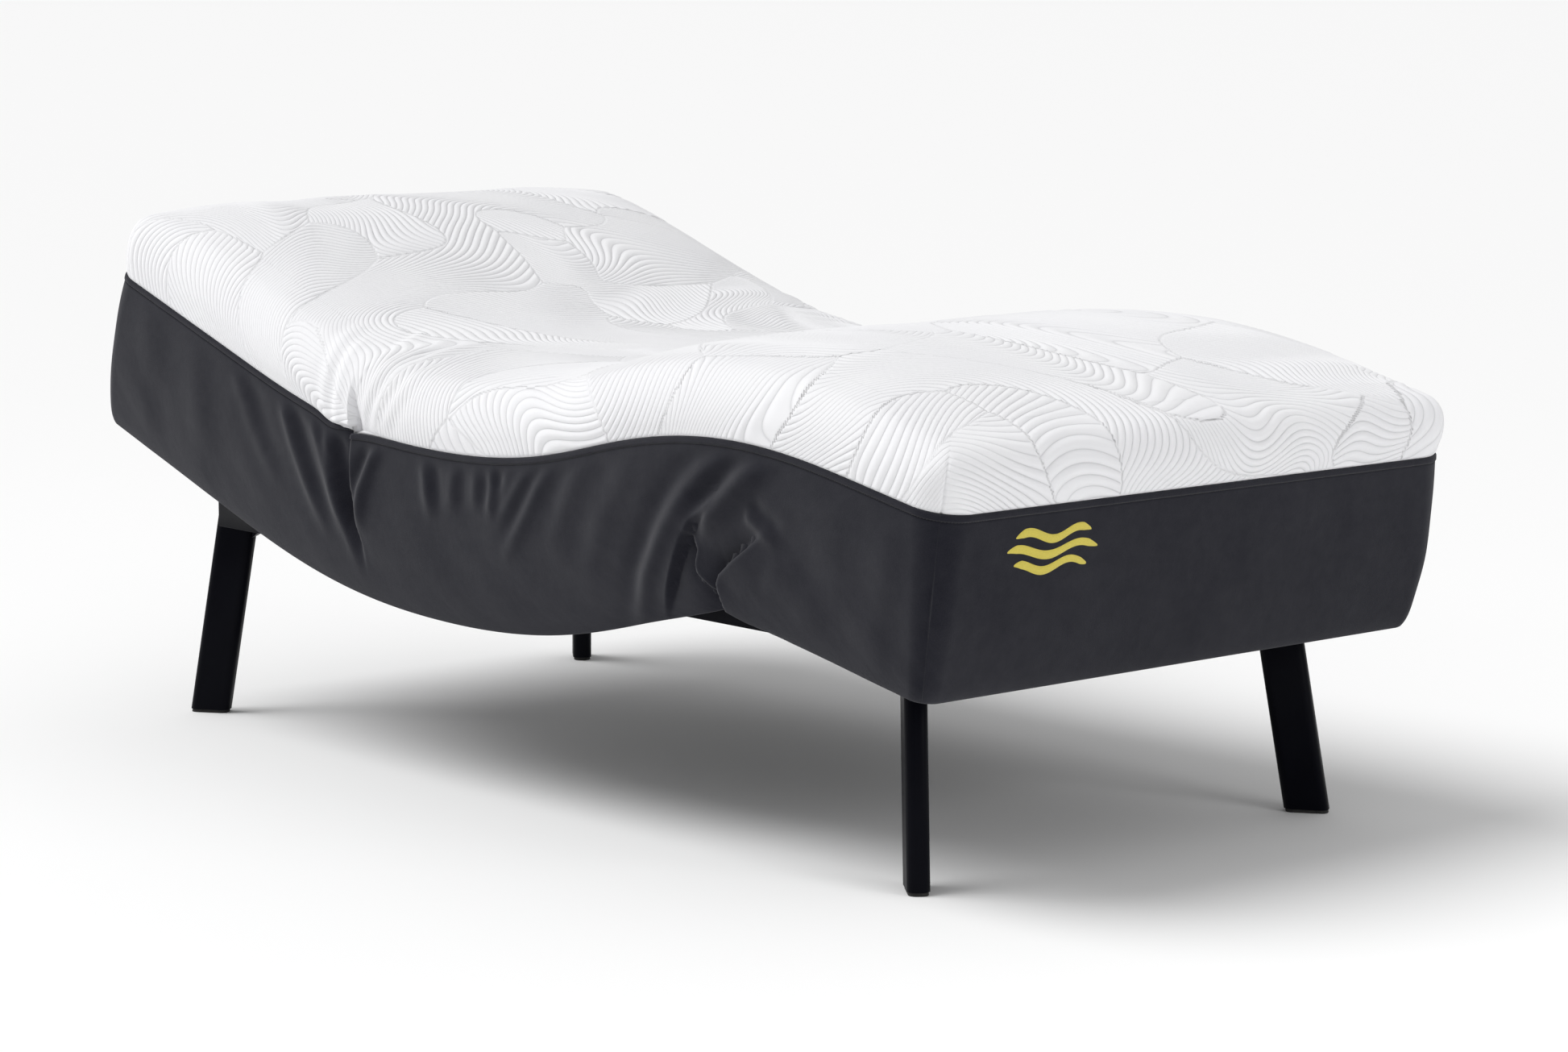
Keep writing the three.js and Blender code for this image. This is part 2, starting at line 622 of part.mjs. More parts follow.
const makeThigh = () => {
  const group = new THREE.Group();
  group.position.set(0, thighHingeY, hingeHeight);
  group.rotation.x = -rad(thighRest);
  makeSectionRails(group, 'thigh', -1, (x) => sectionRail(x, thighLength, true));
  addMesh(group, 'thigh_lift_bar', makeLiftBar(legDrive, -1, thighMax), 'blackSteel');
  const board = deckBoard(deckSetback, thighLength - kneeSetback, coreHalf(deckBottom));
  addMesh(group, 'deck_thigh', face(board, -1), 'board');
  makeUpholstery(group, 'thigh', -1, {
    start: foldUp(thighMax, hingePlay),
    end: fromFarEnd(thighLength, foldDown(kneeMax, hingePlay)),
    panelStart: foldUp(thighMax, panelPlay),
    panelEnd: fromFarEnd(thighLength, foldDown(kneeMax, panelPlay)),
  }, 0);
  hingeRod(group, 'hinge_rod_knee', -thighLength, 0);
  group.add(makeFoot());
  return group;
};

const makeSeat = () => {
  const group = new THREE.Group();
  group.position.set(0, thighHingeY, hingeHeight);
  const board = deckBoard(deckSetback, seatLength - deckSetback, coreHalf(deckBottom));
  addMesh(group, 'deck_seat', board, 'board');
  makeUpholstery(group, 'seat', 1, {
    start: foldUp(thighMax, hingePlay),
    end: fromFarEnd(seatLength, foldUp(backMax, hingePlay)),
    panelStart: foldUp(thighMax, panelPlay),
    panelEnd: fromFarEnd(seatLength, foldUp(backMax, panelPlay)),
  }, 0);
  return group;
};

// Control box between two cross members, with its power inlet
const makeControl = (group) => {
  const y0 = midCrossY + crossWidth / 2 + touch;
  const y1 = thighHingeY - legDrive.mount - crossWidth / 2 - touch;
  const x0 = controlX - controlWidth / 2;
  const x1 = controlX + controlWidth / 2;
  const z0 = crossBottom - controlHeight / 3;
  const shape = roundedRectangle(x1 - x0, y1 - y0, controlCorner);
  const settings = { depth: controlHeight, bevelEnabled: false, curveSegments: 4 };
  const body = new THREE.ExtrudeGeometry(shape, settings);
  addMesh(group, 'control_box', body.translate(controlX, (y0 + y1) / 2, z0), 'plastic');
  const middleY = (y0 + y1) / 2;
  const middleZ = z0 + controlHeight / 2;
  const block = (start, end, grow) => {
    const [halfY, halfZ] = [inletWidth / 2 + grow, inletHeight / 2 + grow];
    return box(start, end, middleY - halfY, middleY + halfY, middleZ - halfZ, middleZ + halfZ);
  };
  const recess = block(x1 + inletWall, x1 + inletDepth + 1, 0);
  const socket = combine(block(x1 + touch, x1 + inletDepth, inletWall), { cut: [recess] });
  addMesh(group, 'power_inlet', socket, 'plastic');
};

const makeBase = () => {
  const group = new THREE.Group();
  makeRails(group);
  makeCrossMembers(group);
  makeLegs(group);
  hingeRod(group, 'hinge_rod_back', backHingeY, hingeHeight);
  hingeRod(group, 'hinge_rod_thigh', thighHingeY, hingeHeight);
  makeDrive(group, 'back', backDrive, backHingeY, 1, backRest);
  makeDrive(group, 'leg', legDrive, thighHingeY, -1, thighRest);
  makeControl(group);
  return group;
};

const bed = new THREE.Group();
bed.add(makeBase(), makeSeat(), makeBack(), makeThigh());

// The origin is under the middle of the whole bed
bed.updateMatrixWorld(true);
const extent = new THREE.Box3().setFromObject(bed, true);
bed.position.y = -(extent.min.y + extent.max.y) / 2;

export default bed;
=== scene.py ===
import json
import math

import bpy
import numpy as np
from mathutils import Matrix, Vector


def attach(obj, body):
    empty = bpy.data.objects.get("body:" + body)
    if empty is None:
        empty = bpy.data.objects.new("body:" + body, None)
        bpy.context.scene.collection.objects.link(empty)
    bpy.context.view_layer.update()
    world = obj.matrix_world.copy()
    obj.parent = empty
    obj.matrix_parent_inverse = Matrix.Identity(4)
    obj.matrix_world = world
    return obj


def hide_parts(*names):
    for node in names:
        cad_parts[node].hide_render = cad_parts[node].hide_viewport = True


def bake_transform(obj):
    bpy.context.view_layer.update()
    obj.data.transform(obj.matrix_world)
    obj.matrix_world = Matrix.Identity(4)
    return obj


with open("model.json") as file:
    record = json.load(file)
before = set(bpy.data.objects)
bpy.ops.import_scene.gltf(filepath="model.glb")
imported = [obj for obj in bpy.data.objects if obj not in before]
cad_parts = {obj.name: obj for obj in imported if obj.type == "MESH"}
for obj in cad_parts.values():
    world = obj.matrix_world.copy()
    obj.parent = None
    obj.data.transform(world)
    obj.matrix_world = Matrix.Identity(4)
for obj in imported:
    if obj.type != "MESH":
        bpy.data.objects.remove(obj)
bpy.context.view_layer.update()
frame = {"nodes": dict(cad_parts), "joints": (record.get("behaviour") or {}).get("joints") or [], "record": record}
joints = {joint["name"]: joint for joint in frame["joints"]}
print("frame loaded,", len(frame["nodes"]), "nodes")


# Camera, floor and light

view = {
    "place": (-4.0385, -4.7880, 1.2644),
    "heading": 40.97,   # degrees from +Y towards +X
    "tilt": 8.18,       # degrees below level
    "lens": 94.3,
}

studio = {
    "floorSize": 600.0,
    "floorColor": (0.95, 0.95, 0.95),
    "skyColor": (1.0, 1.0, 1.0),
    "skyStrength": 0.48,
    "overhead": {"direction": (-0.50, 0.45, 1.0), "spread": 40.0, "strength": 2.05},
    "sideLight": {"place": (-2.6, 2.6, 1.9), "aim": (-0.4, 0.5, 0.5), "size": (1.2, 1.2), "power": 11.0},
    "footLight": {"place": (0.6, -4.4, 1.7), "aim": (0.0, -0.9, 0.5), "size": (1.6, 1.2), "power": 29.0},
}


def makeCamera():
    data = bpy.data.cameras.new("camera")
    data.lens = view["lens"]
    data.sensor_width = 36.0
    data.clip_end = 200.0
    camera = bpy.data.objects.new("camera", data)
    bpy.context.scene.collection.objects.link(camera)
    camera.location = view["place"]
    camera.rotation_euler = (math.radians(90 - view["tilt"]), 0, math.radians(-view["heading"]))
    bpy.context.scene.camera = camera


def makeAreaLight(name, light):
    data = bpy.data.lights.new(name, "AREA")
    data.shape = "RECTANGLE"
    data.size, data.size_y = light["size"]
    data.energy = light["power"]
    lamp = bpy.data.objects.new(name, data)
    bpy.context.scene.collection.objects.link(lamp)
    lamp.location = light["place"]
    direction = Vector(light["aim"]) - Vector(light["place"])
    lamp.rotation_euler = direction.to_track_quat("-Z", "Y").to_euler()


def makeStudio():
    world = bpy.data.worlds.new("studio")
    bpy.context.scene.world = world
    world.use_nodes = True
    background = world.node_tree.nodes["Background"]
    background.inputs["Color"].default_value = (*studio["skyColor"], 1)
    background.inputs["Strength"].default_value = studio["skyStrength"]
    half = studio["floorSize"] / 2
    mesh = bpy.data.meshes.new("studio_floor")
    corners = [(-half, -half, 0), (half, -half, 0), (half, half, 0), (-half, half, 0)]
    mesh.from_pydata(corners, [], [(0, 1, 2, 3)])
    floor = bpy.data.objects.new("studio_floor", mesh)
    bpy.context.scene.collection.objects.link(floor)
    mesh.materials.append(newMaterial("studio_floor", studio["floorColor"], 0.8)[0])
    overhead = bpy.data.lights.new("overhead", "SUN")
    overhead.angle = math.radians(studio["overhead"]["spread"])
    overhead.energy = studio["overhead"]["strength"]
    lamp = bpy.data.objects.new("overhead", overhead)
    lamp.rotation_euler = Vector(studio["overhead"]["direction"]).to_track_quat("Z", "Y").to_euler()
    bpy.context.scene.collection.objects.link(lamp)
    for name in ("sideLight", "footLight"):
        makeAreaLight(name, studio[name])
    bpy.context.scene.view_settings.view_transform = "Standard"


# Small helpers for materials

def newMaterial(name, color, roughness, metallic=0.0):
    material = bpy.data.materials.new(name)
    material.use_nodes = True
    shader = material.node_tree.nodes["Principled BSDF"]
    shader.inputs["Base Color"].default_value = (*color, 1)
    shader.inputs["Roughness"].default_value = roughness
    shader.inputs["Metallic"].default_value = metallic
    return material, shader


def addNode(material, kind, **settings):
    node = material.node_tree.nodes.new(kind)
    for key, value in settings.items():
        setattr(node, key, value)
    return node


def link(material, start, end):
    material.node_tree.links.new(start, end)


def mathNode(material, operation, first, second=None, third=None):
    node = addNode(material, "ShaderNodeMath", operation=operation)
    for socket, value in zip(node.inputs, (first, second, third)):
        if value is None:
            continue
        if isinstance(value, (int, float)):
            socket.default_value = value
        else:
            link(material, value, socket)
    return node.outputs[0]


def noise(material, place, scale, detail=3.0, roughness=0.55):
    node = addNode(material, "ShaderNodeTexNoise")
    node.inputs["Scale"].default_value = scale
    node.inputs["Detail"].default_value = detail
    node.inputs["Roughness"].default_value = roughness
    link(material, place, node.inputs["Vector"])
    return node.outputs["Fac"]


def ramp(material, value, stops):
    node = addNode(material, "ShaderNodeValToRGB")
    elements = node.color_ramp.elements
    while len(elements) < len(stops):
        elements.new(0.5)
    for element, (position, color) in zip(elements, stops):
        element.position = position
        element.color = (*color, 1)
    link(material, value, node.inputs["Fac"])
    return node.outputs["Color"]


def mixColor(material, share, first, second, blend="MIX"):
    node = addNode(material, "ShaderNodeMix", data_type="RGBA", blend_type=blend)
    for name, value in (("Factor", share), ("A", first), ("B", second)):
        socket = node.inputs[name]
        if isinstance(value, (int, float)):
            socket.default_value = value
        elif isinstance(value, tuple):
            socket.default_value = (*value, 1)
        else:
            link(material, value, socket)
    return node.outputs["Result"]


def bump(material, height, distance, strength=1.0, normal=None):
    node = addNode(material, "ShaderNodeBump")
    node.inputs["Distance"].default_value = distance
    node.inputs["Strength"].default_value = strength
    link(material, height, node.inputs["Height"])
    if normal is not None:
        link(material, normal, node.inputs["Normal"])
    return node.outputs["Normal"]


def clothPlace(material):
    # the cloth's own flat coordinates, in metres
    return addNode(material, "ShaderNodeUVMap", uv_map="cloth").outputs["UV"]


def partPlace(material):
    return addNode(material, "ShaderNodeTexCoord").outputs["Object"]


# The line that the bed bends along, through the hinges' height. Stations are metres along it from the
# middle of the seat, positive towards the head.

bedLine = {
    "drop": 0.0025,   # below the hinge axes at the middle of the seat
    "backBend": {"shift": 0.003, "length": 0.674, "extra": -0.25},   # degrees past the hinge's own angle
    "thighBend": {"shift": 0.010, "length": 0.460, "extra": 1.3},
    "kneeBend": {"shift": -0.022, "length": 0.549, "extra": 1.3},
    "headEnd": 0.940,
    "footEnd": 1.080,
    "seamHeight": 0.1477,   # where the white cover meets the border
    "hemHeight": -0.109,
    "hemLean": 0.015,       # the border's foot and sides lean this far at the hem
    "halfWidth": 0.500,
    "cornerRadius": 0.055,   # at the seam
    "hemRadius": 0.030,
}

backHinge = joints["back_lift"]["pos_m"]
thighHinge = joints["thigh_lift"]["pos_m"]
kneeHinge = joints["knee_bend"]["pos_m"]
backAngle = -joints["back_lift"]["range_deg"][0]
thighAngle = -joints["thigh_lift"]["range_deg"][0]
kneeAngle = -joints["knee_bend"]["range_deg"][0]
seatMiddle = (backHinge[1] + thighHinge[1]) / 2
seatHalf = (backHinge[1] - thighHinge[1]) / 2
thighLength = math.dist(thighHinge, kneeHinge)


def smooth(t):
    t = np.clip(t, 0, 1)
    return t * t * (3 - 2 * t)


def bend(distance, hingeDistance, angle, bendSettings):
    middle = hingeDistance + bendSettings["shift"]
    turned = math.radians(angle + bendSettings["extra"])
    return turned * smooth((distance - middle) / bendSettings["length"] + 0.5)


stationStep = 0.001
stations = np.arange(-1.3, 1.2, stationStep)
slopes = (
    bend(stations, seatHalf, backAngle, bedLine["backBend"])
    - bend(-stations, seatHalf, thighAngle, bedLine["thighBend"])
    + bend(-stations, seatHalf + thighLength, kneeAngle, bedLine["kneeBend"])
)


def runningSum(values):
    total = np.concatenate([[0], np.cumsum((values[1:] + values[:-1]) / 2) * stationStep])
    return total - np.interp(0, stations, total)


lineY = seatMiddle + runningSum(np.cos(slopes))
lineZ = backHinge[2] - bedLine["drop"] + runningSum(np.sin(slopes))


def onBed(x, station, height):
    slope = np.interp(station, stations, slopes)
    y = np.interp(station, stations, lineY) - height * np.sin(slope)
    z = np.interp(station, stations, lineZ) + height * np.cos(slope)
    return np.stack([x, y, z], axis=-1)


# Folds. Each runs along a line of (station, height) points on the border, or (station, inset) points on
# the cover. A ridge has a valley beside it, and a step is one layer of cloth lying over another.

def alongLine(a, b, line):
    best = np.full(a.shape, 9.0)
    across = np.zeros(a.shape)
    along = np.zeros(a.shape)
    lengths = [math.dist(p, q) for p, q in zip(line, line[1:])]
    done = 0.0
    for (p, q), length in zip(zip(line, line[1:]), lengths):
        da, db = (q[0] - p[0]) / length, (q[1] - p[1]) / length
        t = (a - p[0]) * da + (b - p[1]) * db
        side = (a - p[0]) * db - (b - p[1]) * da
        over = t - np.clip(t, 0, length)
        first, last = done == 0.0, done + length >= sum(lengths) - 1e-9
        beyond = np.where(((t < 0) & first) | ((t > length) & last), 0.0, over)
        distance = np.hypot(side, beyond)
        closer = distance < best
        best = np.where(closer, distance, best)
        across = np.where(closer, np.sign(side) * distance, across)
        along = np.where(closer, (done + t) / sum(lengths), along)
        done += length
    return across, along


def fade(along, ends):
    return smooth(along / ends[0] + 0.5) * smooth((1 - along) / ends[1] + 0.5)


def ridge(a, b, fold):
    across, along = alongLine(a, b, fold["line"])
    t = across / fold["width"]
    lean = fold.get("lean", 1)
    shape = np.exp(-t * t) - 0.7 * np.exp(-((t - 1.5 * lean) ** 2) / 1.2)
    return fold["rise"] * shape * fade(along, fold.get("ends", (0.3, 0.6)))


def step(a, b, fold):
    across, along = alongLine(a, b, fold["line"])
    across = across * fold.get("over", 1)
    low = -fold["low"] * np.exp(np.minimum(across, 0) / fold["lowWidth"])
    high = fold["high"] * np.exp(-np.maximum(across, 0) / fold["highWidth"])
    edge = smooth(across / fold["edge"] + 0.5)
    return (low * (1 - edge) + high * edge) * fade(along, fold.get("ends", (0.3, 0.6)))


# Border

border = {
    "spacing": 0.0032,
    "liningRows": 14,
    "thickness": 0.003,
    "belly": 0.003,          # how far the fabric swells between seam and hem
    "hemTuck": 0.005,        # how far it turns in at the hem
    "bandHeight": 0.0085,    # from the seam down to the row of stitches
    "bandRise": 0.0016,
    "grooveDepth": 0.0014,
    "waviness": 0.0012,
    "evened": 0.0030,
    "ridgeStart": 0.030,     # below the seam, where the soft folds reach their full height
    "farShift": 0.014,       # the far side's folds, against the near side's
    "farShare": 0.85,
    "seamDips": [
        {"station": 0.285, "width": 0.035, "drop": 0.008},
    ],
    "overlap": {"station": 0.2205, "width": 0.040, "drop": 0.011, "edge": 0.003},
    "hemLift": {"station": -0.657, "headWidth": 0.085, "footWidth": 0.060, "rise": 0.024},
    "steps": [
        # the hip crease: the seat's cloth lies over the back's
        {"line": [(0.2215, 0.160), (0.220, 0.110), (0.217, 0.060), (0.209, 0.022), (0.192, -0.015)],
         "low": 0.019, "lowWidth": 0.026, "high": 0.007, "highWidth": 0.045, "edge": 0.006,
         "over": 1, "ends": (0.001, 0.75)},
        # the knee tuck, from the thigh side to the foot side
        {"line": [(-0.640, 0.044), (-0.612, 0.027), (-0.586, -0.002), (-0.560, -0.040), (-0.532, -0.084)],
         "low": 0.010, "lowWidth": 0.026, "high": 0.007, "highWidth": 0.022, "edge": 0.008,
         "over": -1, "ends": (0.6, 0.5)},
        {"line": [(-0.600, 0.008), (-0.611, -0.012), (-0.603, -0.034), (-0.606, -0.050), (-0.628, -0.072),
                  (-0.650, -0.088)],
         "low": 0.009, "lowWidth": 0.014, "high": 0.007, "highWidth": 0.012, "edge": 0.004,
         "over": 1, "ends": (0.3, 0.2)},
        {"line": [(-0.722, 0.006), (-0.690, -0.020), (-0.662, -0.046), (-0.654, -0.066), (-0.659, -0.095),
                  (-0.662, -0.120)],
         "low": 0.022, "lowWidth": 0.022, "high": 0.012, "highWidth": 0.060, "edge": 0.009,
         "over": 1, "ends": (0.8, 0.001)},
    ],
    "ridges": [
        # soft folds on the back's side of the hip crease
        {"line": [(0.560, 0.125), (0.490, 0.060), (0.420, 0.008)], "rise": 0.0036, "width": 0.020},
        {"line": [(0.425, 0.138), (0.380, 0.086), (0.335, 0.036), (0.292, -0.010)],
         "rise": 0.0072, "width": 0.016},
        {"line": [(0.345, 0.145), (0.305, 0.098), (0.272, 0.050), (0.245, 0.000)],
         "rise": 0.0052, "width": 0.014},
        {"line": [(0.296, 0.140), (0.270, 0.078), (0.238, 0.015), (0.205, -0.035)],
         "rise": 0.0100, "width": 0.015},
        # over the seat
        {"line": [(0.140, 0.146), (0.160, 0.106), (0.179, 0.062), (0.188, 0.010)],
         "rise": 0.0090, "width": 0.014,
         "lean": -1},
        {"line": [(0.019, 0.144), (0.010, 0.105), (0.002, 0.060)], "rise": 0.0056, "width": 0.015},
        {"line": [(-0.062, 0.144), (-0.058, 0.108), (-0.054, 0.072)], "rise": 0.0036, "width": 0.015},
        {"line": [(-0.120, 0.142), (-0.116, 0.105), (-0.112, 0.080)], "rise": 0.0030, "width": 0.013},
        {"line": [(-0.160, 0.142), (-0.158, 0.110), (-0.150, 0.075)], "rise": 0.0048, "width": 0.012},
        {"line": [(-0.222, 0.142), (-0.192, 0.112), (-0.155, 0.072)],
         "rise": 0.0044, "width": 0.014, "lean": -1},
        {"line": [(-0.268, 0.141), (-0.228, 0.108), (-0.182, 0.066)],
         "rise": 0.0042, "width": 0.014, "lean": -1},
        {"line": [(-0.322, 0.140), (-0.275, 0.100), (-0.225, 0.050), (-0.195, 0.020)], "rise": 0.0050,
         "width": 0.014, "lean": -1},
        {"line": [(-0.400, 0.130), (-0.350, 0.088), (-0.300, 0.030)],
         "rise": 0.0026, "width": 0.020, "lean": -1},
        # towards the knee tuck
        {"line": [(-0.490, 0.110), (-0.420, 0.045), (-0.370, -0.020)],
         "rise": 0.0026, "width": 0.024, "lean": -1},
        {"line": [(-0.700, 0.136), (-0.640, 0.100), (-0.580, 0.047), (-0.530, -0.005), (-0.498, -0.040),
                  (-0.475, -0.075)], "rise": 0.0095, "width": 0.020, "lean": -1},
        {"line": [(-0.745, 0.126), (-0.705, 0.092), (-0.668, 0.056), (-0.630, 0.026)], "rise": 0.0150,
         "width": 0.019, "lean": -1, "ends": (0.6, 0.4)},
        {"line": [(-0.722, 0.052), (-0.748, 0.038), (-0.778, 0.028)], "rise": 0.0060, "width": 0.012},
        {"line": [(-0.770, -0.015), (-0.860, -0.055)], "rise": 0.0026, "width": 0.034},
        # along the foot and the back
        {"line": [(-0.900, 0.120), (-0.860, -0.080)], "rise": 0.0014, "width": 0.034},
        {"line": [(-1.000, 0.110), (-0.980, -0.090)], "rise": 0.0014, "width": 0.030},
        {"line": [(0.680, 0.120), (0.620, -0.080)], "rise": 0.0016, "width": 0.034},
        {"line": [(0.820, 0.120), (0.790, -0.080)], "rise": 0.0014, "width": 0.034},
    ],
    "fill": 0.7,
}


def seamShift(station, side):
    # how far the seam line dips, at a station of one side
    at = station - np.where(side > 0, border["farShift"], 0.0)
    share = np.where(side > 0, border["farShare"], 1.0)
    shift = np.zeros(at.shape)
    for dip in border["seamDips"]:
        shift -= dip["drop"] * np.exp(-((at - dip["station"]) / dip["width"]) ** 2)
    over = border["overlap"]
    seatSide = smooth((over["station"] - at) / over["edge"] + 0.5)
    shift -= seatSide * over["drop"] * np.exp(-np.maximum(over["station"] - at, 0) / over["width"])
    return shift * share


def hemShift(station):
    lift = border["hemLift"]
    past = station - lift["station"]
    return lift["rise"] * np.exp(-np.where(past > 0, past / lift["headWidth"], -past / lift["footWidth"]))


def sideFolds(station, height, side):
    # how far the border stands out at a point of a long side
    at = station - np.where(side > 0, border["farShift"], 0.0)
    total = np.zeros(at.shape)
    for fold in border["steps"]:
        total += step(at, height, fold)
    free = smooth((bedLine["seamHeight"] - border["bandHeight"] - height) / border["ridgeStart"])
    for fold in border["ridges"]:
        total += ridge(at, height, fold) * free
    return total * np.where(side > 0, border["farShare"], 1.0)


def evened(folds, station, height, side):
    # the folds averaged over a few millimetres each way, so that no edge is ragged
    reach = border["evened"]
    places = ((0, 0, 4), (reach, 0, 2), (-reach, 0, 2), (0, reach, 2), (0, -reach, 2),
              (reach, reach, 1), (reach, -reach, 1), (-reach, reach, 1), (-reach, -reach, 1))
    total = np.zeros(station.shape)
    for along, up, weight in places:
        total += weight * folds(station + along, np.full(station.shape, height + up), side)
    return total / 16


def wavy(a, b):
    # slow waves that no cloth is without
    return (
        np.sin(11.3 * a + 1.7 * np.sin(7.1 * b + 0.5)) * np.cos(17.0 * b + 0.8 * np.sin(13.0 * a))
        + 0.6 * np.sin(23.9 * a - 9.0 * b + 1.9)
        + 0.4 * np.sin(41.0 * a + 19.0 * b)
    )


def roundedLoop(halfX, low, high, radius, counts):
    nx, ns = counts
    across = np.linspace(-1, 1, nx + 1)
    along = np.linspace(-1, 1, ns + 1)
    x = np.concatenate([across[:-1], np.ones(ns), across[:0:-1], -np.ones(ns)])
    s = np.concatenate([-np.ones(nx), along[:-1], np.ones(nx), along[:0:-1]])
    middle, half = (low + high) / 2, (high - low) / 2
    px, ps = x * halfX, s * half
    cx = np.clip(px, radius - halfX, halfX - radius)
    cs = np.clip(ps, radius - half, half - radius)
    dx, ds = px - cx, ps - cs
    length = np.maximum(np.hypot(dx, ds), 1e-9)
    inCorner = (np.abs(px) > halfX - radius + 1e-9) & (np.abs(ps) > half - radius + 1e-9)
    nxOut = np.where(inCorner, dx / length, np.where(np.abs(x) > 1 - 1e-9, np.sign(x), 0.0))
    nsOut = np.where(inCorner, ds / length, np.where(np.abs(x) > 1 - 1e-9, 0.0, np.sign(s)))
    reachX = np.where(inCorner, cx + radius * nxOut, px)
    reachS = np.where(inCorner, cs + radius * nsOut, ps)
    return reachX, reachS + middle, nxOut, nsOut


def loopCounts(spacing):
    nx = round(2 * bedLine["halfWidth"] / spacing)
    ns = round((bedLine["headEnd"] + bedLine["footEnd"]) / spacing)
    return nx, ns


def gridFaces(rows, columns, closed):
    # quads of a grid of vertices numbered row by row
    row = np.arange(rows - 1)[:, None] * columns
    column = np.arange(columns if closed else columns - 1)[None, :]
    following = (column + 1) % columns
    return np.stack([row + column, row + following, row + columns + following, row + columns + column],
                    axis=-1).reshape(-1, 4)


def vertexNormals(points, faces):
    corner = points[faces]
    flat = np.cross(corner[:, 2] - corner[:, 0], corner[:, 3] - corner[:, 1])
    total = np.zeros(points.shape)
    for k in range(4):
        np.add.at(total, faces[:, k], flat)
    return total / np.maximum(np.linalg.norm(total, axis=1), 1e-12)[:, None]


def newMesh(name, points, faces, material, normals=None, cloth=None, values=None):
    mesh = bpy.data.meshes.new(name)
    mesh.vertices.add(len(points))
    mesh.vertices.foreach_set("co", points.astype(np.float32).ravel())
    mesh.loops.add(faces.size)
    mesh.loops.foreach_set("vertex_index", faces.astype(np.int32).ravel())
    mesh.polygons.add(len(faces))
    sides = faces.shape[1]
    mesh.polygons.foreach_set("loop_start", np.arange(0, faces.size, sides, dtype=np.int32))
    mesh.update(calc_edges=True)
    mesh.validate()
    mesh.polygons.foreach_set("use_smooth", np.ones(len(mesh.polygons), bool))
    if cloth is not None:
        layer = mesh.uv_layers.new(name="cloth")
        layer.data.foreach_set("uv", cloth[faces.ravel()].astype(np.float32).ravel())
    for key, value in (values or {}).items():
        attribute = mesh.attributes.new(key, "FLOAT", "POINT")
        attribute.data.foreach_set("value", value.astype(np.float32))
    if normals is not None:
        mesh.normals_split_custom_set_from_vertices(normals)
    mesh.materials.append(material)
    piece = bpy.data.objects.new(name, mesh)
    bpy.context.scene.collection.objects.link(piece)
    return piece


# The long soft pieces cross three joints, so each is made whole and then divided in three at the middle of the
# seat and of the thigh.

thirds = {
    "back": {"bodies": ("base_frame", "back_section"), "start": 0.03, "end": 0.47},
    "seat": {"bodies": ("base_frame", "thigh_section"), "start": -0.03, "end": -0.42},
    "foot": {"bodies": ("thigh_section", "foot_section"), "start": -0.47, "end": -0.87},
}
thighMiddle = -(seatHalf + thighLength / 2)


def thirdOf(station):
    return np.where(station > 0, 0, np.where(station > thighMiddle, 1, 2))


def divide(name, points, faces, stationOf, material, normals=None, cloth=None, values=None):
    pieces = {}
    middle = stationOf[faces].mean(axis=1)
    for index, part in enumerate(thirds):
        own = faces[thirdOf(middle) == index]
        used, compact = np.unique(own, return_inverse=True)
        compact = compact.reshape(own.shape)
        piece = newMesh(
            f"{name}_{part}", points[used], compact, material,
            None if normals is None else normals[used],
            None if cloth is None else cloth[used],
            {key: value[used] for key, value in (values or {}).items()},
        )
        bendAcross(piece)
        pieces[part] = piece
    return pieces


def bendAcross(piece):
    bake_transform(piece)


def borderReach(height):
    # how far the border's face stands out from the seam line at a height, and its share of the way down
    top, bottom = bedLine["seamHeight"], bedLine["hemHeight"]
    down = (top - height) / (top - bottom)
    belly = border["belly"] * 4 * down * (1 - down)
    tuck = border["hemTuck"] * np.exp(-np.maximum(height - bottom, 0) / 0.012)
    return belly - bedLine["hemLean"] * down ** 2 - tuck, down


def borderWaves(run, height, down):
    return border["waviness"] * wavy(run * 1.3, height * 1.7) * 4 * down * (1 - down)


def borderSurface(rowHeights, counts, inset):
    lean = bedLine["hemLean"]
    top = bedLine["seamHeight"]
    points, cloth, stationRows = [], [], []
    for height in rowHeights:
        reach, down = borderReach(height)
        reach = reach - inset
        radius = bedLine["cornerRadius"] + (bedLine["hemRadius"] - bedLine["cornerRadius"]) * down
        x, s, nx, ns = roundedLoop(
            bedLine["halfWidth"] + reach, -bedLine["footEnd"] - reach - lean * down,
            bedLine["headEnd"] + reach, radius - inset, counts)
        side = np.sign(x)
        onSide = smooth((np.abs(nx) - 0.3) / 0.6) * smooth((np.minimum(s + bedLine["footEnd"],
                                                                      bedLine["headEnd"] - s) - 0.02) / 0.06)
        shiftTop = seamShift(s, side) * onSide
        shiftHem = hemShift(s) * onSide
        level = height + shiftTop * (1 - down) ** 2 + shiftHem * down ** 2
        out = evened(sideFolds, s, height, side) * onSide
        runLength = np.concatenate([[0], np.cumsum(np.hypot(np.diff(x), np.diff(s)))])
        out += borderWaves(runLength, np.full(s.shape, height), down)
        band = smooth((top - height) / 0.002) * smooth((height - top + border["bandHeight"]) / 0.0015 + 0.5)
        groove = np.exp(-(((top - height) - border["bandHeight"] - 0.0008) / 0.0009) ** 2)
        out += border["bandRise"] * band - border["grooveDepth"] * groove
        points.append(onBed(x + nx * out, s + ns * out, level))
        cloth.append(np.stack([runLength, level], axis=-1))
        stationRows.append(s)
    return np.array(points), np.array(cloth), np.array(stationRows)


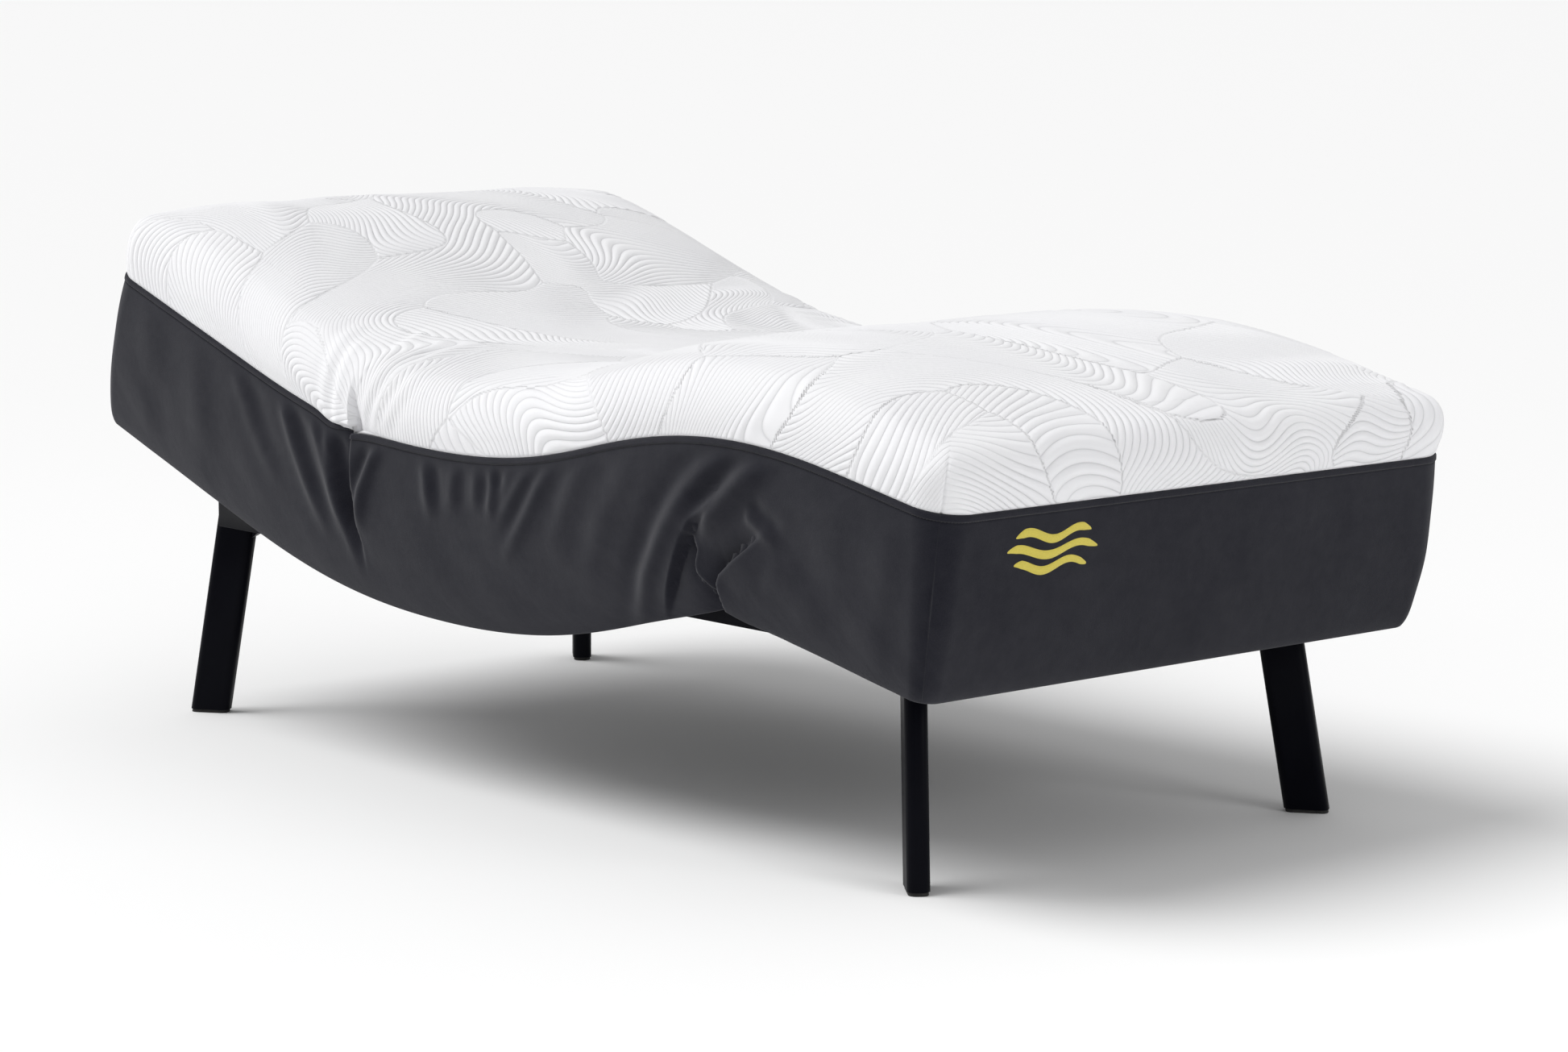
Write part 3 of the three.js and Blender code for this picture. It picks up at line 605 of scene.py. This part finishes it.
def borderRows():
    top, bottom = bedLine["seamHeight"], bedLine["hemHeight"]
    fine = top - np.array([0, 0.0008, 0.002, 0.004, 0.006, 0.0075, 0.0085, 0.0093, 0.0101, 0.011,
                           0.0125, 0.015])
    count = round((fine[-1] - bottom) / border["spacing"])
    return np.concatenate([fine, np.linspace(fine[-1], bottom, count + 1)[1:]])


def makeBorder(material):
    counts = loopCounts(border["spacing"])
    rows = borderRows()
    outer, outerCloth, outerStation = borderSurface(rows, counts, 0.0)
    liningRows = np.linspace(bedLine["hemHeight"], bedLine["seamHeight"], border["liningRows"])
    inner, innerCloth, innerStation = borderSurface(liningRows, counts, border["thickness"])
    middle, middleCloth, middleStation = borderSurface(rows[-1:] - 0.0012, counts, border["thickness"] / 2)
    edge, edgeCloth, edgeStation = borderSurface(rows[:1] + 0.0010, counts, border["thickness"] / 2)
    points = np.concatenate([edge, outer, middle, inner])
    cloth = np.concatenate([edgeCloth, outerCloth, middleCloth, innerCloth])
    station = np.concatenate([edgeStation, outerStation, middleStation, innerStation])
    rowCount, columns = points.shape[:2]
    faces = gridFaces(rowCount, columns, True)[:, ::-1]
    last = np.arange(columns)
    following = (last + 1) % columns
    start = (rowCount - 1) * columns
    closing = np.stack([start + last, start + following, following, last], axis=-1)[:, ::-1]
    faces = np.concatenate([faces, closing])
    flatPoints = points.reshape(-1, 3)
    normals = vertexNormals(flatPoints, faces)
    pieces = divide("border_cover", flatPoints, faces, station.ravel(), material, normals,
                    cloth.reshape(-1, 2))
    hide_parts("border_back_left", "border_back_right", "border_back_end")
    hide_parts("border_seat_left", "border_seat_right",
                "border_thigh_left", "border_thigh_right")
    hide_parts("border_foot_left", "border_foot_right", "border_foot_end")
    return pieces


# Stitches in the groove under the border's top band

stitches = {"length": 0.0032, "pitch": 0.0046, "radius": 0.00045, "sides": 5, "stand": 0.0004}


def makeStitches(material):
    height = bedLine["seamHeight"] - border["bandHeight"] - 0.0008
    line, _, stationRow = borderSurface(np.array([height]), loopCounts(border["spacing"]), -stitches["stand"])
    line = np.concatenate([line[0], line[0][:1]])
    stationRow = np.concatenate([stationRow[0], stationRow[0][:1]])
    run = np.concatenate([[0], np.cumsum(np.linalg.norm(np.diff(line, axis=0), axis=1))])
    starts = np.arange(0, run[-1] - stitches["pitch"], stitches["pitch"])
    # each stitch is a short tube along the groove, thin at both ends
    shares = np.array([0.0, 0.12, 0.5, 0.88, 1.0])
    fat = np.array([0.25, 0.85, 1.0, 0.85, 0.25])
    places = starts[:, None] + shares * stitches["length"]
    centre = np.stack([np.interp(places, run, line[:, k]) for k in range(3)], axis=-1)
    along = centre[:, -1] - centre[:, 0]
    along /= np.linalg.norm(along, axis=1)[:, None]
    out = np.cross(along, np.array([0.0, 0.0, 1.0]))
    out /= np.linalg.norm(out, axis=1)[:, None]
    rise = np.cross(out, along)
    angle = np.arange(stitches["sides"]) / stitches["sides"] * 2 * math.pi
    ring = out[:, None, None, :] * np.cos(angle)[None, None, :, None]
    ring = ring + rise[:, None, None, :] * np.sin(angle)[None, None, :, None]
    points = centre[:, :, None, :] + ring * (fat * stitches["radius"])[None, :, None, None]
    each = len(shares) * stitches["sides"]
    one = gridFaces(len(shares), stitches["sides"], True)
    faces = one[None] + (np.arange(len(starts)) * each)[:, None, None]
    stations = np.repeat(np.interp(starts, run, stationRow), each)
    pieces = divide("border_stitches", points.reshape(-1, 3), faces.reshape(-1, 4), stations, material)


# Top cover: a quilted white knit that runs from the seam over the shoulder and across the top

cover = {
    "spacing": 0.0025,
    "shoulderInset": 0.048,
    "ringInset": 0.075,
    "shoulderFoot": 0.078,     # the shoulder's height above the seam, at the foot
    "shoulderHead": 0.096,
    "crown": [(-1.08, 0.028), (-0.60, 0.046), (-0.10, 0.036), (0.40, 0.050), (0.94, 0.064)],   # by station
    "bulge": 0.0045,
    "seamInset": 0.0015,       # inside the border's face
    "underHeight": 0.060,
    "quiltRise": 0.14,         # ridge height for each metre of ridge spacing
    "quiltMost": 0.0017,
    "cornerSeam": {"depth": 0.0020, "width": 0.0018, "top": 0.030, "plain": 0.026},
    "fill": 0.95,
    # puckers where the back bends up from the seat, (station, distance from the seam over the shoulder)
    "steps": [
        {"line": [(0.2213, -0.02), (0.222, 0.022), (0.230, 0.048)],
         "low": 0.019, "lowWidth": 0.026, "high": 0.007, "highWidth": 0.045, "edge": 0.006,
         "over": 1, "ends": (0.001, 1.2)},
    ],
    "ridges": [
        {"line": [(0.262, 0.010), (0.268, 0.060), (0.290, 0.120)], "rise": 0.0040, "width": 0.014},
        {"line": [(0.300, 0.020), (0.316, 0.080), (0.350, 0.150)], "rise": 0.0026, "width": 0.016},
        {"line": [(0.196, 0.020), (0.180, 0.080), (0.170, 0.140), (0.180, 0.200)],
         "rise": 0.0034, "width": 0.012,
         "lean": -1},
        {"line": [(0.165, 0.020), (0.140, 0.080), (0.124, 0.140), (0.130, 0.210)],
         "rise": 0.0030, "width": 0.013,
         "lean": -1},
        {"line": [(0.130, 0.020), (0.096, 0.080), (0.074, 0.140)],
         "rise": 0.0024, "width": 0.014, "lean": -1},
        {"line": [(0.205, 0.110), (0.222, 0.160), (0.250, 0.220)], "rise": 0.0022, "width": 0.014},
    ],
}


def quilting(x, s):
    twist = 0.055 * np.sin(7.4 * s + 1.1 * np.sin(5.2 * x + 0.4)) + 0.018 * np.sin(13.1 * x - 6.0 * s + 2.0)
    shear = 0.060 * np.sin(6.1 * x + 1.3 * np.sin(4.7 * s + 1.0)) + 0.016 * np.sin(15.0 * s + 4.0 * x)
    u, v = x + twist, s + shear
    families = np.array([
        # lines that run across the bed, bunching and spreading
        88 * v + 5.2 * np.sin(9.6 * u + 3.9 * v) + 1.9 * np.sin(21.0 * u - 11.0 * v + 0.8),
        # lines that sweep lengthways
        80 * u + 20 * v + 5.4 * np.sin(9.9 * v - 2.7 * u + 1.4) + 1.6 * np.sin(26.0 * v + 6.0 * u),
        # long arcs, with a few nests
        7.2 * np.sin(9.0 * u + 0.9) * np.cos(9.6 * v + 0.4) + 72 * (u * 0.45 - v)
        + 2.2 * np.sin(17.0 * v + 12.0 * u),
        # steep diagonal waves
        60 * (u + v) + 4.2 * np.sin(11.7 * (u - v) + 2.2) + 1.8 * np.sin(30.0 * u + 1.0),
    ])
    strengths = np.array([
        np.sin(9.4 * u + 2.6 * np.sin(5.9 * v)) + 0.6 * np.sin(13.0 * v + 1.0),
        np.sin(10.9 * v + 1.9 * np.sin(7.6 * u + 2.0)) + 0.5 * np.sin(11.7 * u - 3.0),
        np.sin(8.4 * (u - v) + 0.7) + 0.7 * np.sin(14.7 * u + 6.0 * v),
        np.sin(9.0 * (u + v) + 3.3) + 0.6 * np.cos(12.6 * v - 5.0 * u),
    ])
    winner = np.argmax(strengths, axis=0)
    phase = np.take_along_axis(families, winner[None], axis=0)[0]
    ranked = np.sort(strengths, axis=0)
    return phase, ranked[-1] - ranked[-2], winner


def quiltRelief(x, s):
    # ridge height and line count at each point, with the ridges dying away where two groups meet
    phase, lead, winner = quilting(x, s)
    small = 0.0005
    beside, leadBeside, winnerBeside = quilting(x + small, s)
    above, leadAbove, winnerAbove = quilting(x, s + small)
    slopeX = np.where(winner == winnerBeside, (beside - phase) / small, 90.0)
    slopeS = np.where(winner == winnerAbove, (above - phase) / small, 0.0)
    spacing = 1 / np.clip(np.hypot(slopeX, slopeS), 60, 330)
    leadSlope = np.hypot(leadBeside - lead, leadAbove - lead) / small
    inside = smooth(lead / np.maximum(leadSlope, 1.0) / 0.004)
    within = phase - np.floor(phase)
    shape = 0.5 - 0.5 * np.cos(2 * math.pi * within)
    resolved = smooth((spacing - 0.0035) / 0.004)
    rise = np.minimum(cover["quiltRise"] * spacing, cover["quiltMost"])
    return rise * (1 + (shape - 0.5) * resolved * inside), phase, rise * inside


def shoulder(inset):
    # a quarter of a squarish ellipse, from 0 at the seam to 1
    t = np.clip(1 - inset / cover["shoulderInset"], 0, 1)
    return (1 - t ** 3) ** (1 / 3)


def shoulderHeight(s):
    share = (s + bedLine["footEnd"]) / (bedLine["headEnd"] + bedLine["footEnd"])
    return cover["shoulderFoot"] + (cover["shoulderHead"] - cover["shoulderFoot"]) * np.clip(share, 0, 1)


def crown(x, s):
    middle = (bedLine["headEnd"] - bedLine["footEnd"]) / 2
    half = (bedLine["headEnd"] + bedLine["footEnd"]) / 2
    knots = np.array(cover["crown"])
    fine = np.linspace(knots[0, 0], knots[-1, 0], 80)
    values = np.interp(fine, knots[:, 0], knots[:, 1])
    values = np.convolve(np.pad(values, 12, "edge"), np.hanning(25) / np.hanning(25).sum(), "valid")
    across = 1 - np.abs(x / bedLine["halfWidth"]) ** 6
    return np.interp(s, fine, values) * across * (1 - np.abs((s - middle) / half) ** 12)


def coverFolds(x, s, fromSeam):
    side = np.sign(x)
    at = s - np.where(side > 0, border["farShift"], 0.0)
    total = np.zeros(x.shape)
    for fold in cover["steps"]:
        total += step(at, fromSeam, fold)
    for fold in cover["ridges"]:
        total += ridge(at, fromSeam, fold)
    return total * np.where(side > 0, border["farShare"], 1.0)


def makeCover(material):
    inset = cover["ringInset"]
    halfX = bedLine["halfWidth"] - inset
    low, high = inset - bedLine["footEnd"], bedLine["headEnd"] - inset
    nx = round(2 * halfX / cover["spacing"])
    ns = round((high - low) / cover["spacing"])
    gridX = np.linspace(-halfX, halfX, nx + 1)
    gridS = np.linspace(low, high, ns + 1)
    innerX, innerS = np.meshgrid(gridX, gridS)
    innerX, innerS = innerX.ravel(), innerS.ravel()

    # rings from the grid's edge out over the shoulder to the seam, spaced evenly along the curve
    t = np.linspace(0, 1, 2000)
    profileInset = inset * (1 - t ** 3)
    profileRise = shoulder(profileInset)
    steps = np.hypot(np.diff(profileInset), cover["shoulderHead"] * np.diff(profileRise))
    run = np.concatenate([[0], np.cumsum(steps)])
    ringCount = round(run[-1] / cover["spacing"])
    at = np.linspace(0, run[-1], ringCount + 1)[1:]
    ringInset = np.interp(at, run, profileInset)
    ringRise = np.interp(at, run, profileRise)

    startX, startS, _, _ = roundedLoop(halfX, low, high, 1e-6, (nx, ns))
    xs, ss, flatX, flatS, downs = [innerX], [innerS], [innerX], [innerS], [np.zeros(innerX.shape)]
    for ringAt, thisInset, thisRise in zip(at, ringInset, ringRise):
        radius = bedLine["cornerRadius"] * (1 - thisInset / inset) ** 5 + 1e-6
        down = 1 - thisRise
        bulge = cover["bulge"] * math.sin(math.pi * down) - cover["seamInset"]
        reach = bulge - thisInset
        x, s, _, _ = roundedLoop(bedLine["halfWidth"] + reach, -bedLine["footEnd"] - reach,
                                 bedLine["headEnd"] + reach, radius, (nx, ns))
        away = np.stack([x - startX, s - startS])
        length = np.maximum(np.linalg.norm(away, axis=0), 1e-9)
        xs.append(x)
        ss.append(s)
        flatX.append(startX + away[0] / length * ringAt)
        flatS.append(startS + away[1] / length * ringAt)
        downs.append(np.full(x.shape, down))
    x, s, u, v, down = (np.concatenate(part) for part in (xs, ss, flatX, flatS, downs))

    height = bedLine["seamHeight"] + (shoulderHeight(s) + crown(x, s)) * (1 - down)
    onSide = smooth((np.abs(x) - (bedLine["halfWidth"] - 0.10)) / 0.06)
    endward = np.minimum(s + bedLine["footEnd"], bedLine["headEnd"] - s)
    height = height + seamShift(s, np.sign(x)) * onSide * smooth((endward - 0.02) / 0.06) * down ** 0.7

    # faces: the grid, then ring by ring
    gridIndex = np.arange((nx + 1) * (ns + 1)).reshape(ns + 1, nx + 1)
    inner = np.stack([gridIndex[:-1, :-1], gridIndex[:-1, 1:], gridIndex[1:, 1:], gridIndex[1:, :-1]],
                     axis=-1).reshape(-1, 4)
    loop = np.concatenate([gridIndex[0, :-1], gridIndex[:-1, -1], gridIndex[-1, :0:-1], gridIndex[:0:-1, 0]])
    count = len(loop)
    rings = [loop] + [gridIndex.size + k * count + np.arange(count) for k in range(len(at))]
    sides = []
    for upper, lower in zip(rings, rings[1:]):
        sides.append(np.stack([upper, lower, np.roll(lower, -1), np.roll(upper, -1)], axis=-1))
    faces = np.concatenate([inner] + sides)

    base = onBed(x, s, height)
    normals = vertexNormals(base, faces)
    relief, phase, rise = quiltRelief(u, v)
    cornerX = bedLine["halfWidth"] - np.abs(x)
    plain = 1 - 0.9 * np.exp(-(np.hypot(cornerX, endward) / cover["cornerSeam"]["plain"]) ** 2)
    relief, rise = relief * plain, rise * plain
    atSeam = smooth((1 - down) / 0.06)
    fromSeam = halfX + run[-1] - np.abs(u)
    out = relief * atSeam + coverFolds(x, s, fromSeam) * smooth((1 - down) / 0.02) ** 0.5
    fromCorner = np.abs(cornerX - endward) / math.sqrt(2)
    nearCorner = (cornerX < cover["cornerSeam"]["top"]) & (endward < cover["cornerSeam"]["top"])
    seam = np.where(nearCorner, np.exp(-(fromCorner / cover["cornerSeam"]["width"]) ** 2), 0.0)
    out = out - cover["cornerSeam"]["depth"] * seam * smooth(down / 0.15)
    out += 0.0012 * wavy(u * 0.8, v * 0.7) * smooth((1 - down) / 0.3)
    points = base + normals * out[:, None]

    # the cover turns in under the border's edge and closes beneath
    turned = [(0.006, -0.005), (0.030, -0.010), (0.045, -(bedLine["seamHeight"] - cover["underHeight"]))]
    extraPoints, extraStations, extraFlat = [], [], []
    edge = rings[-1]
    for inward, drop in turned:
        reach = -cover["seamInset"] - inward
        tx, ts, _, _ = roundedLoop(bedLine["halfWidth"] + reach, -bedLine["footEnd"] - reach,
                                   bedLine["headEnd"] + reach, bedLine["cornerRadius"], (nx, ns))
        sideShare = smooth((np.abs(tx) - 0.4) / 0.06)
        shift = seamShift(ts, np.sign(tx)) * sideShare * (1 if drop > -0.02 else 0)
        edgeFold = coverFolds(tx, ts, np.zeros(tx.shape)) * sideShare * (1 if inward < 0.02 else 0.4)
        extraPoints.append(onBed(tx + np.sign(tx) * edgeFold, ts, bedLine["seamHeight"] + drop + shift))
        extraStations.append(ts)
        extraFlat.append(np.stack([tx, ts], axis=-1))
    first = len(points)
    under = [first + k * count + np.arange(count) for k in range(len(turned))]
    turnFaces = [np.stack([a, b, np.roll(b, -1), np.roll(a, -1)], axis=-1)
                 for a, b in zip([edge] + under, under)]
    # beneath, straight rows join the two long sides
    right = under[-1][nx:nx + ns + 1]
    left = np.concatenate([under[-1][2 * nx + ns:], under[-1][:1]])[::-1]
    below = np.stack([right[:-1], left[:-1], left[1:], right[1:]], axis=-1)[:, ::-1]
    points = np.concatenate([points] + extraPoints)
    stationOf = np.concatenate([s] + extraStations)
    flat = np.concatenate([np.stack([u, v], axis=-1)] + extraFlat)
    pad = np.zeros(len(points) - first)
    phase = np.concatenate([phase, pad])
    depth = np.concatenate([1000 * rise * atSeam, pad])   # in millimetres
    faces = np.concatenate([faces] + turnFaces + [below])
    normals = vertexNormals(points, faces)
    pieces = divide("top_cover", points, faces, stationOf, material, normals, flat,
                    {"quiltPhase": phase, "quiltDepth": depth})
    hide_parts("mattress_back")
    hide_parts("mattress_seat", "mattress_thigh")
    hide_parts("mattress_foot")
    return pieces


# Materials

fabrics = {
    "coverColor": (0.86, 0.86, 0.875),
    # grey for painted shade in the quilting grooves
    "coverGrooveShade": (0.60, 0.60, 0.62),
    "coverSheen": 0.15,
    "borderColor": (0.0085, 0.0088, 0.0145),
    "borderNap": (0.0190, 0.0192, 0.0255),
    "borderSheen": 0.24,
    "threadColor": (0.010, 0.010, 0.012),
}

metals = {
    "blackSteel": (0.0008, 0.0009, 0.0030),
    "zinc": (0.60, 0.61, 0.63),
    "aluminium": (0.62, 0.63, 0.65),
}


def coverKnit():
    material, shader = newMaterial("white_quilted_knit", fabrics["coverColor"], 0.82)
    place = clothPlace(material)
    phase = addNode(material, "ShaderNodeAttribute", attribute_name="quiltPhase").outputs["Fac"]
    depth = addNode(material, "ShaderNodeAttribute", attribute_name="quiltDepth").outputs["Fac"]
    within = mathNode(material, "FRACT", phase)
    centred = mathNode(material, "ABSOLUTE", mathNode(material, "MULTIPLY_ADD", within, 2.0, -1.0))
    groove = mathNode(material, "POWER", centred, 4.0)
    # painted shade: the cover's colour turns grey in the quilting grooves, where shade falls
    grooveShadeMask = mathNode(material, "MULTIPLY", mathNode(material, "POWER", centred, 12.0), depth)
    ridgeHeight = mathNode(material, "MULTIPLY", mathNode(material, "SUBTRACT", 1.0, groove), depth)
    blotch = noise(material, place, 7.0, 4.0)
    tint = ramp(material, blotch, [(0.35, (0.84, 0.84, 0.86)), (0.65, fabrics["coverColor"])])
    share = mathNode(material, "MULTIPLY", grooveShadeMask, 0.42)
    color = mixColor(material, share, tint, fabrics["coverGrooveShade"])
    link(material, color, shader.inputs["Base Color"])
    separate = addNode(material, "ShaderNodeSeparateXYZ")
    link(material, place, separate.inputs[0])
    rowsOf = mathNode(material, "SINE", mathNode(material, "MULTIPLY", separate.outputs["X"], 5200.0))
    columnsOf = mathNode(material, "SINE", mathNode(material, "MULTIPLY", separate.outputs["Y"], 4100.0))
    loops = mathNode(material, "MULTIPLY", rowsOf, columnsOf)
    fuzz = noise(material, place, 900.0, 2.0)
    knit = mathNode(material, "ADD", mathNode(material, "MULTIPLY", loops, 0.5), fuzz)
    fine = bump(material, knit, 0.00022, 0.7)
    normal = bump(material, ridgeHeight, 0.0007, 1.0, fine)
    link(material, normal, shader.inputs["Normal"])
    shader.inputs["Sheen Weight"].default_value = fabrics["coverSheen"]
    shader.inputs["Sheen Roughness"].default_value = 0.5
    return material


def borderVelvet():
    material, shader = newMaterial("charcoal_velvet", fabrics["borderColor"], 0.95)
    place = clothPlace(material)
    stroke = noise(material, place, 5.0, 3.0)
    nap = noise(material, place, 38.0, 5.0, 0.65)
    grain = noise(material, place, 620.0, 3.0, 0.75)
    mixed = mathNode(material, "ADD", mathNode(material, "MULTIPLY", stroke, 0.30),
                     mathNode(material, "MULTIPLY", nap, 0.30))
    mixed = mathNode(material, "ADD", mixed, mathNode(material, "MULTIPLY", grain, 0.40))
    color = ramp(material, mixed, [(0.38, fabrics["borderColor"]), (0.62, fabrics["borderNap"])])
    link(material, color, shader.inputs["Base Color"])
    shader.inputs["Sheen Weight"].default_value = fabrics["borderSheen"]
    shader.inputs["Sheen Roughness"].default_value = 0.55
    shader.inputs["Sheen Tint"].default_value = (0.62, 0.62, 0.63, 1)
    shader.inputs["Specular IOR Level"].default_value = 0.04
    fine = bump(material, grain, 0.0005, 0.8)
    normal = bump(material, nap, 0.0010, 0.5, fine)
    link(material, normal, shader.inputs["Normal"])
    return material


def sewingThread(name, color):
    material, shader = newMaterial(name, color, 0.6)
    place = partPlace(material)
    twist = noise(material, place, 2200.0, 2.0)
    link(material, bump(material, twist, 0.0002, 0.8), shader.inputs["Normal"])
    darker = tuple(c * 0.7 for c in color)
    lighter = tuple(min(c * 1.3, 1) for c in color)
    tone = ramp(material, twist, [(0.3, darker), (0.7, lighter)])
    link(material, tone, shader.inputs["Base Color"])
    shader.inputs["Sheen Weight"].default_value = 0.3
    return material


def powderCoat():
    material, shader = newMaterial("black_powder_coat", metals["blackSteel"], 0.42)
    place = partPlace(material)
    orangePeel = noise(material, place, 520.0, 2.0)
    dust = noise(material, place, 14.0, 5.0, 0.65)
    roughness = mathNode(material, "MULTIPLY_ADD", dust, 0.22, 0.30)
    link(material, roughness, shader.inputs["Roughness"])
    color = ramp(material, dust, [(0.35, metals["blackSteel"]), (0.7, (0.0018, 0.0020, 0.0045))])
    link(material, color, shader.inputs["Base Color"])
    shader.inputs["Specular IOR Level"].default_value = 0.06
    link(material, bump(material, orangePeel, 0.00012, 0.5), shader.inputs["Normal"])
    return material


def brightMetal(name, color, low, high, scale):
    material, shader = newMaterial(name, color, low, 1.0)
    place = partPlace(material)
    mapping = addNode(material, "ShaderNodeMapping")
    mapping.inputs["Scale"].default_value = scale
    link(material, place, mapping.inputs["Vector"])
    brushed = noise(material, mapping.outputs["Vector"], 60.0, 4.0, 0.7)
    cloud = noise(material, place, 30.0, 3.0)
    roughness = mathNode(material, "MULTIPLY_ADD", brushed, high - low, low)
    link(material, roughness, shader.inputs["Roughness"])
    darker = tuple(0.82 * c for c in color)
    link(material, ramp(material, cloud, [(0.35, darker), (0.65, color)]), shader.inputs["Base Color"])
    link(material, bump(material, brushed, 0.00004, 0.6), shader.inputs["Normal"])
    return material


def mouldedPlastic():
    material, shader = newMaterial("black_moulded_plastic", (0.018, 0.018, 0.020), 0.55)
    place = partPlace(material)
    grain = noise(material, place, 1400.0, 2.0)
    cloud = noise(material, place, 18.0, 3.0)
    roughness = mathNode(material, "MULTIPLY_ADD", cloud, 0.2, 0.45)
    link(material, roughness, shader.inputs["Roughness"])
    tone = ramp(material, cloud, [(0.3, (0.015, 0.015, 0.017)), (0.7, (0.024, 0.024, 0.027))])
    link(material, tone, shader.inputs["Base Color"])
    link(material, bump(material, grain, 0.0002, 0.5), shader.inputs["Normal"])
    return material


def glideRubber():
    material, shader = newMaterial("black_rubber", (0.012, 0.012, 0.012), 0.85)
    place = partPlace(material)
    scuff = noise(material, place, 90.0, 5.0, 0.7)
    tone = ramp(material, scuff, [(0.4, (0.010, 0.010, 0.010)), (0.75, (0.030, 0.029, 0.028))])
    link(material, tone, shader.inputs["Base Color"])
    link(material, bump(material, scuff, 0.0003, 0.5), shader.inputs["Normal"])
    return material


def feltBoard():
    material, shader = newMaterial("dark_felt_board", (0.050, 0.051, 0.055), 0.95)
    place = partPlace(material)
    fibre = noise(material, place, 420.0, 5.0, 0.75)
    cloud = noise(material, place, 9.0, 3.0)
    mixed = mathNode(material, "ADD", mathNode(material, "MULTIPLY", fibre, 0.6),
                     mathNode(material, "MULTIPLY", cloud, 0.4))
    tone = ramp(material, mixed, [(0.35, (0.036, 0.037, 0.041)), (0.65, (0.075, 0.076, 0.081))])
    link(material, tone, shader.inputs["Base Color"])
    shader.inputs["Sheen Weight"].default_value = 0.3
    link(material, bump(material, fibre, 0.0006, 0.7), shader.inputs["Normal"])
    return material


# Kept CAD pieces: edges rounded by a modifier, and each slot's own finish

frameFinish = {"edge": 0.0009, "edgeAngle": 32.0, "segments": 2}


def finishFrame(materials):
    slots = {part["node"]: part["material_slot"] for part in frame["record"]["subparts"]}
    for name, node in frame["nodes"].items():
        finish = materials.get(slots[name])
        if finish is None:
            continue
        node.data.materials.clear()
        node.data.materials.append(finish)
        node.data.polygons.foreach_set("material_index", np.zeros(len(node.data.polygons), np.int32))
        node.data.polygons.foreach_set("use_smooth", np.ones(len(node.data.polygons), bool))
        weld = node.modifiers.new("weld", "WELD")
        weld.merge_threshold = 0.00002
        bevel = node.modifiers.new("rounded edges", "BEVEL")
        bevel.width = frameFinish["edge"]
        bevel.segments = frameFinish["segments"]
        bevel.limit_method = "ANGLE"
        bevel.angle_limit = math.radians(frameFinish["edgeAngle"])
        bevel.harden_normals = True


# Emblem on the foot end: three plain waves in satin stitch, with no lettering

emblem = {
    "middle": (-0.292, 0.088),   # across the bed, height
    "width": 0.170,
    "band": 0.012,
    "gap": 0.021,
    "waveRise": 0.006,
    "stand": 0.0012,
    "color": (0.60, 0.50, 0.055),
}


def makeEmblem(material):
    along = np.linspace(0, 1, 91)
    across = np.linspace(-1, 1, 7)
    points, faces = [], []
    for index in range(3):
        shorter = 1 - 0.18 * abs(index - 1)
        x = emblem["middle"][0] + (along - 0.5) * emblem["width"] * shorter
        line = emblem["middle"][1] + (1 - index) * emblem["gap"]
        line = line + emblem["waveRise"] * np.sin(along * 3 * math.pi + index * 0.5)
        taper = np.minimum(1, np.minimum(along, 1 - along) * 9) ** 0.6
        half = emblem["band"] / 2 * np.maximum(taper, 0.05)
        heights = line[:, None] + half[:, None] * across[None, :]
        ripple = 0.00025 * np.abs(np.sin(along * math.pi * 90))[:, None]
        rise = emblem["stand"] * (1 - across[None, :] ** 4) * taper[:, None] - 0.0006 + ripple
        reach, down = borderReach(heights)
        placeX = np.repeat(x[:, None], len(across), axis=1)
        waves = borderWaves(placeX + bedLine["halfWidth"] + reach, heights, down)
        station = -bedLine["footEnd"] - reach - bedLine["hemLean"] * down - waves - rise - 0.0004
        sheet = onBed(placeX, station, heights)
        start = sum(len(p) for p in points)
        points.append(sheet.reshape(-1, 3))
        faces.append(gridFaces(len(along), len(across), False)[:, ::-1] + start)
    points, faces = np.concatenate(points), np.concatenate(faces)
    piece = newMesh("foot_emblem", points, faces, material)
    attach(piece, "foot_section")


makeCamera()
makeStudio()
print("camera and studio made")

finishFrame({
    "black_steel": powderCoat(),
    "zinc_steel": brightMetal("bright_zinc", metals["zinc"], 0.22, 0.42, (1.0, 0.05, 1.0)),
    "aluminium": brightMetal("satin_aluminium", metals["aluminium"], 0.30, 0.48, (1.0, 0.03, 1.0)),
    "black_plastic": mouldedPlastic(),
    "rubber": glideRubber(),
    "deck_board": feltBoard(),
})
print("frame finished")

makeCover(coverKnit())
print("top cover made")
makeBorder(borderVelvet())
print("border made")
makeStitches(sewingThread("dark_thread", fabrics["threadColor"]))
makeEmblem(sewingThread("yellow_thread", emblem["color"]))
print("stitches and emblem made")
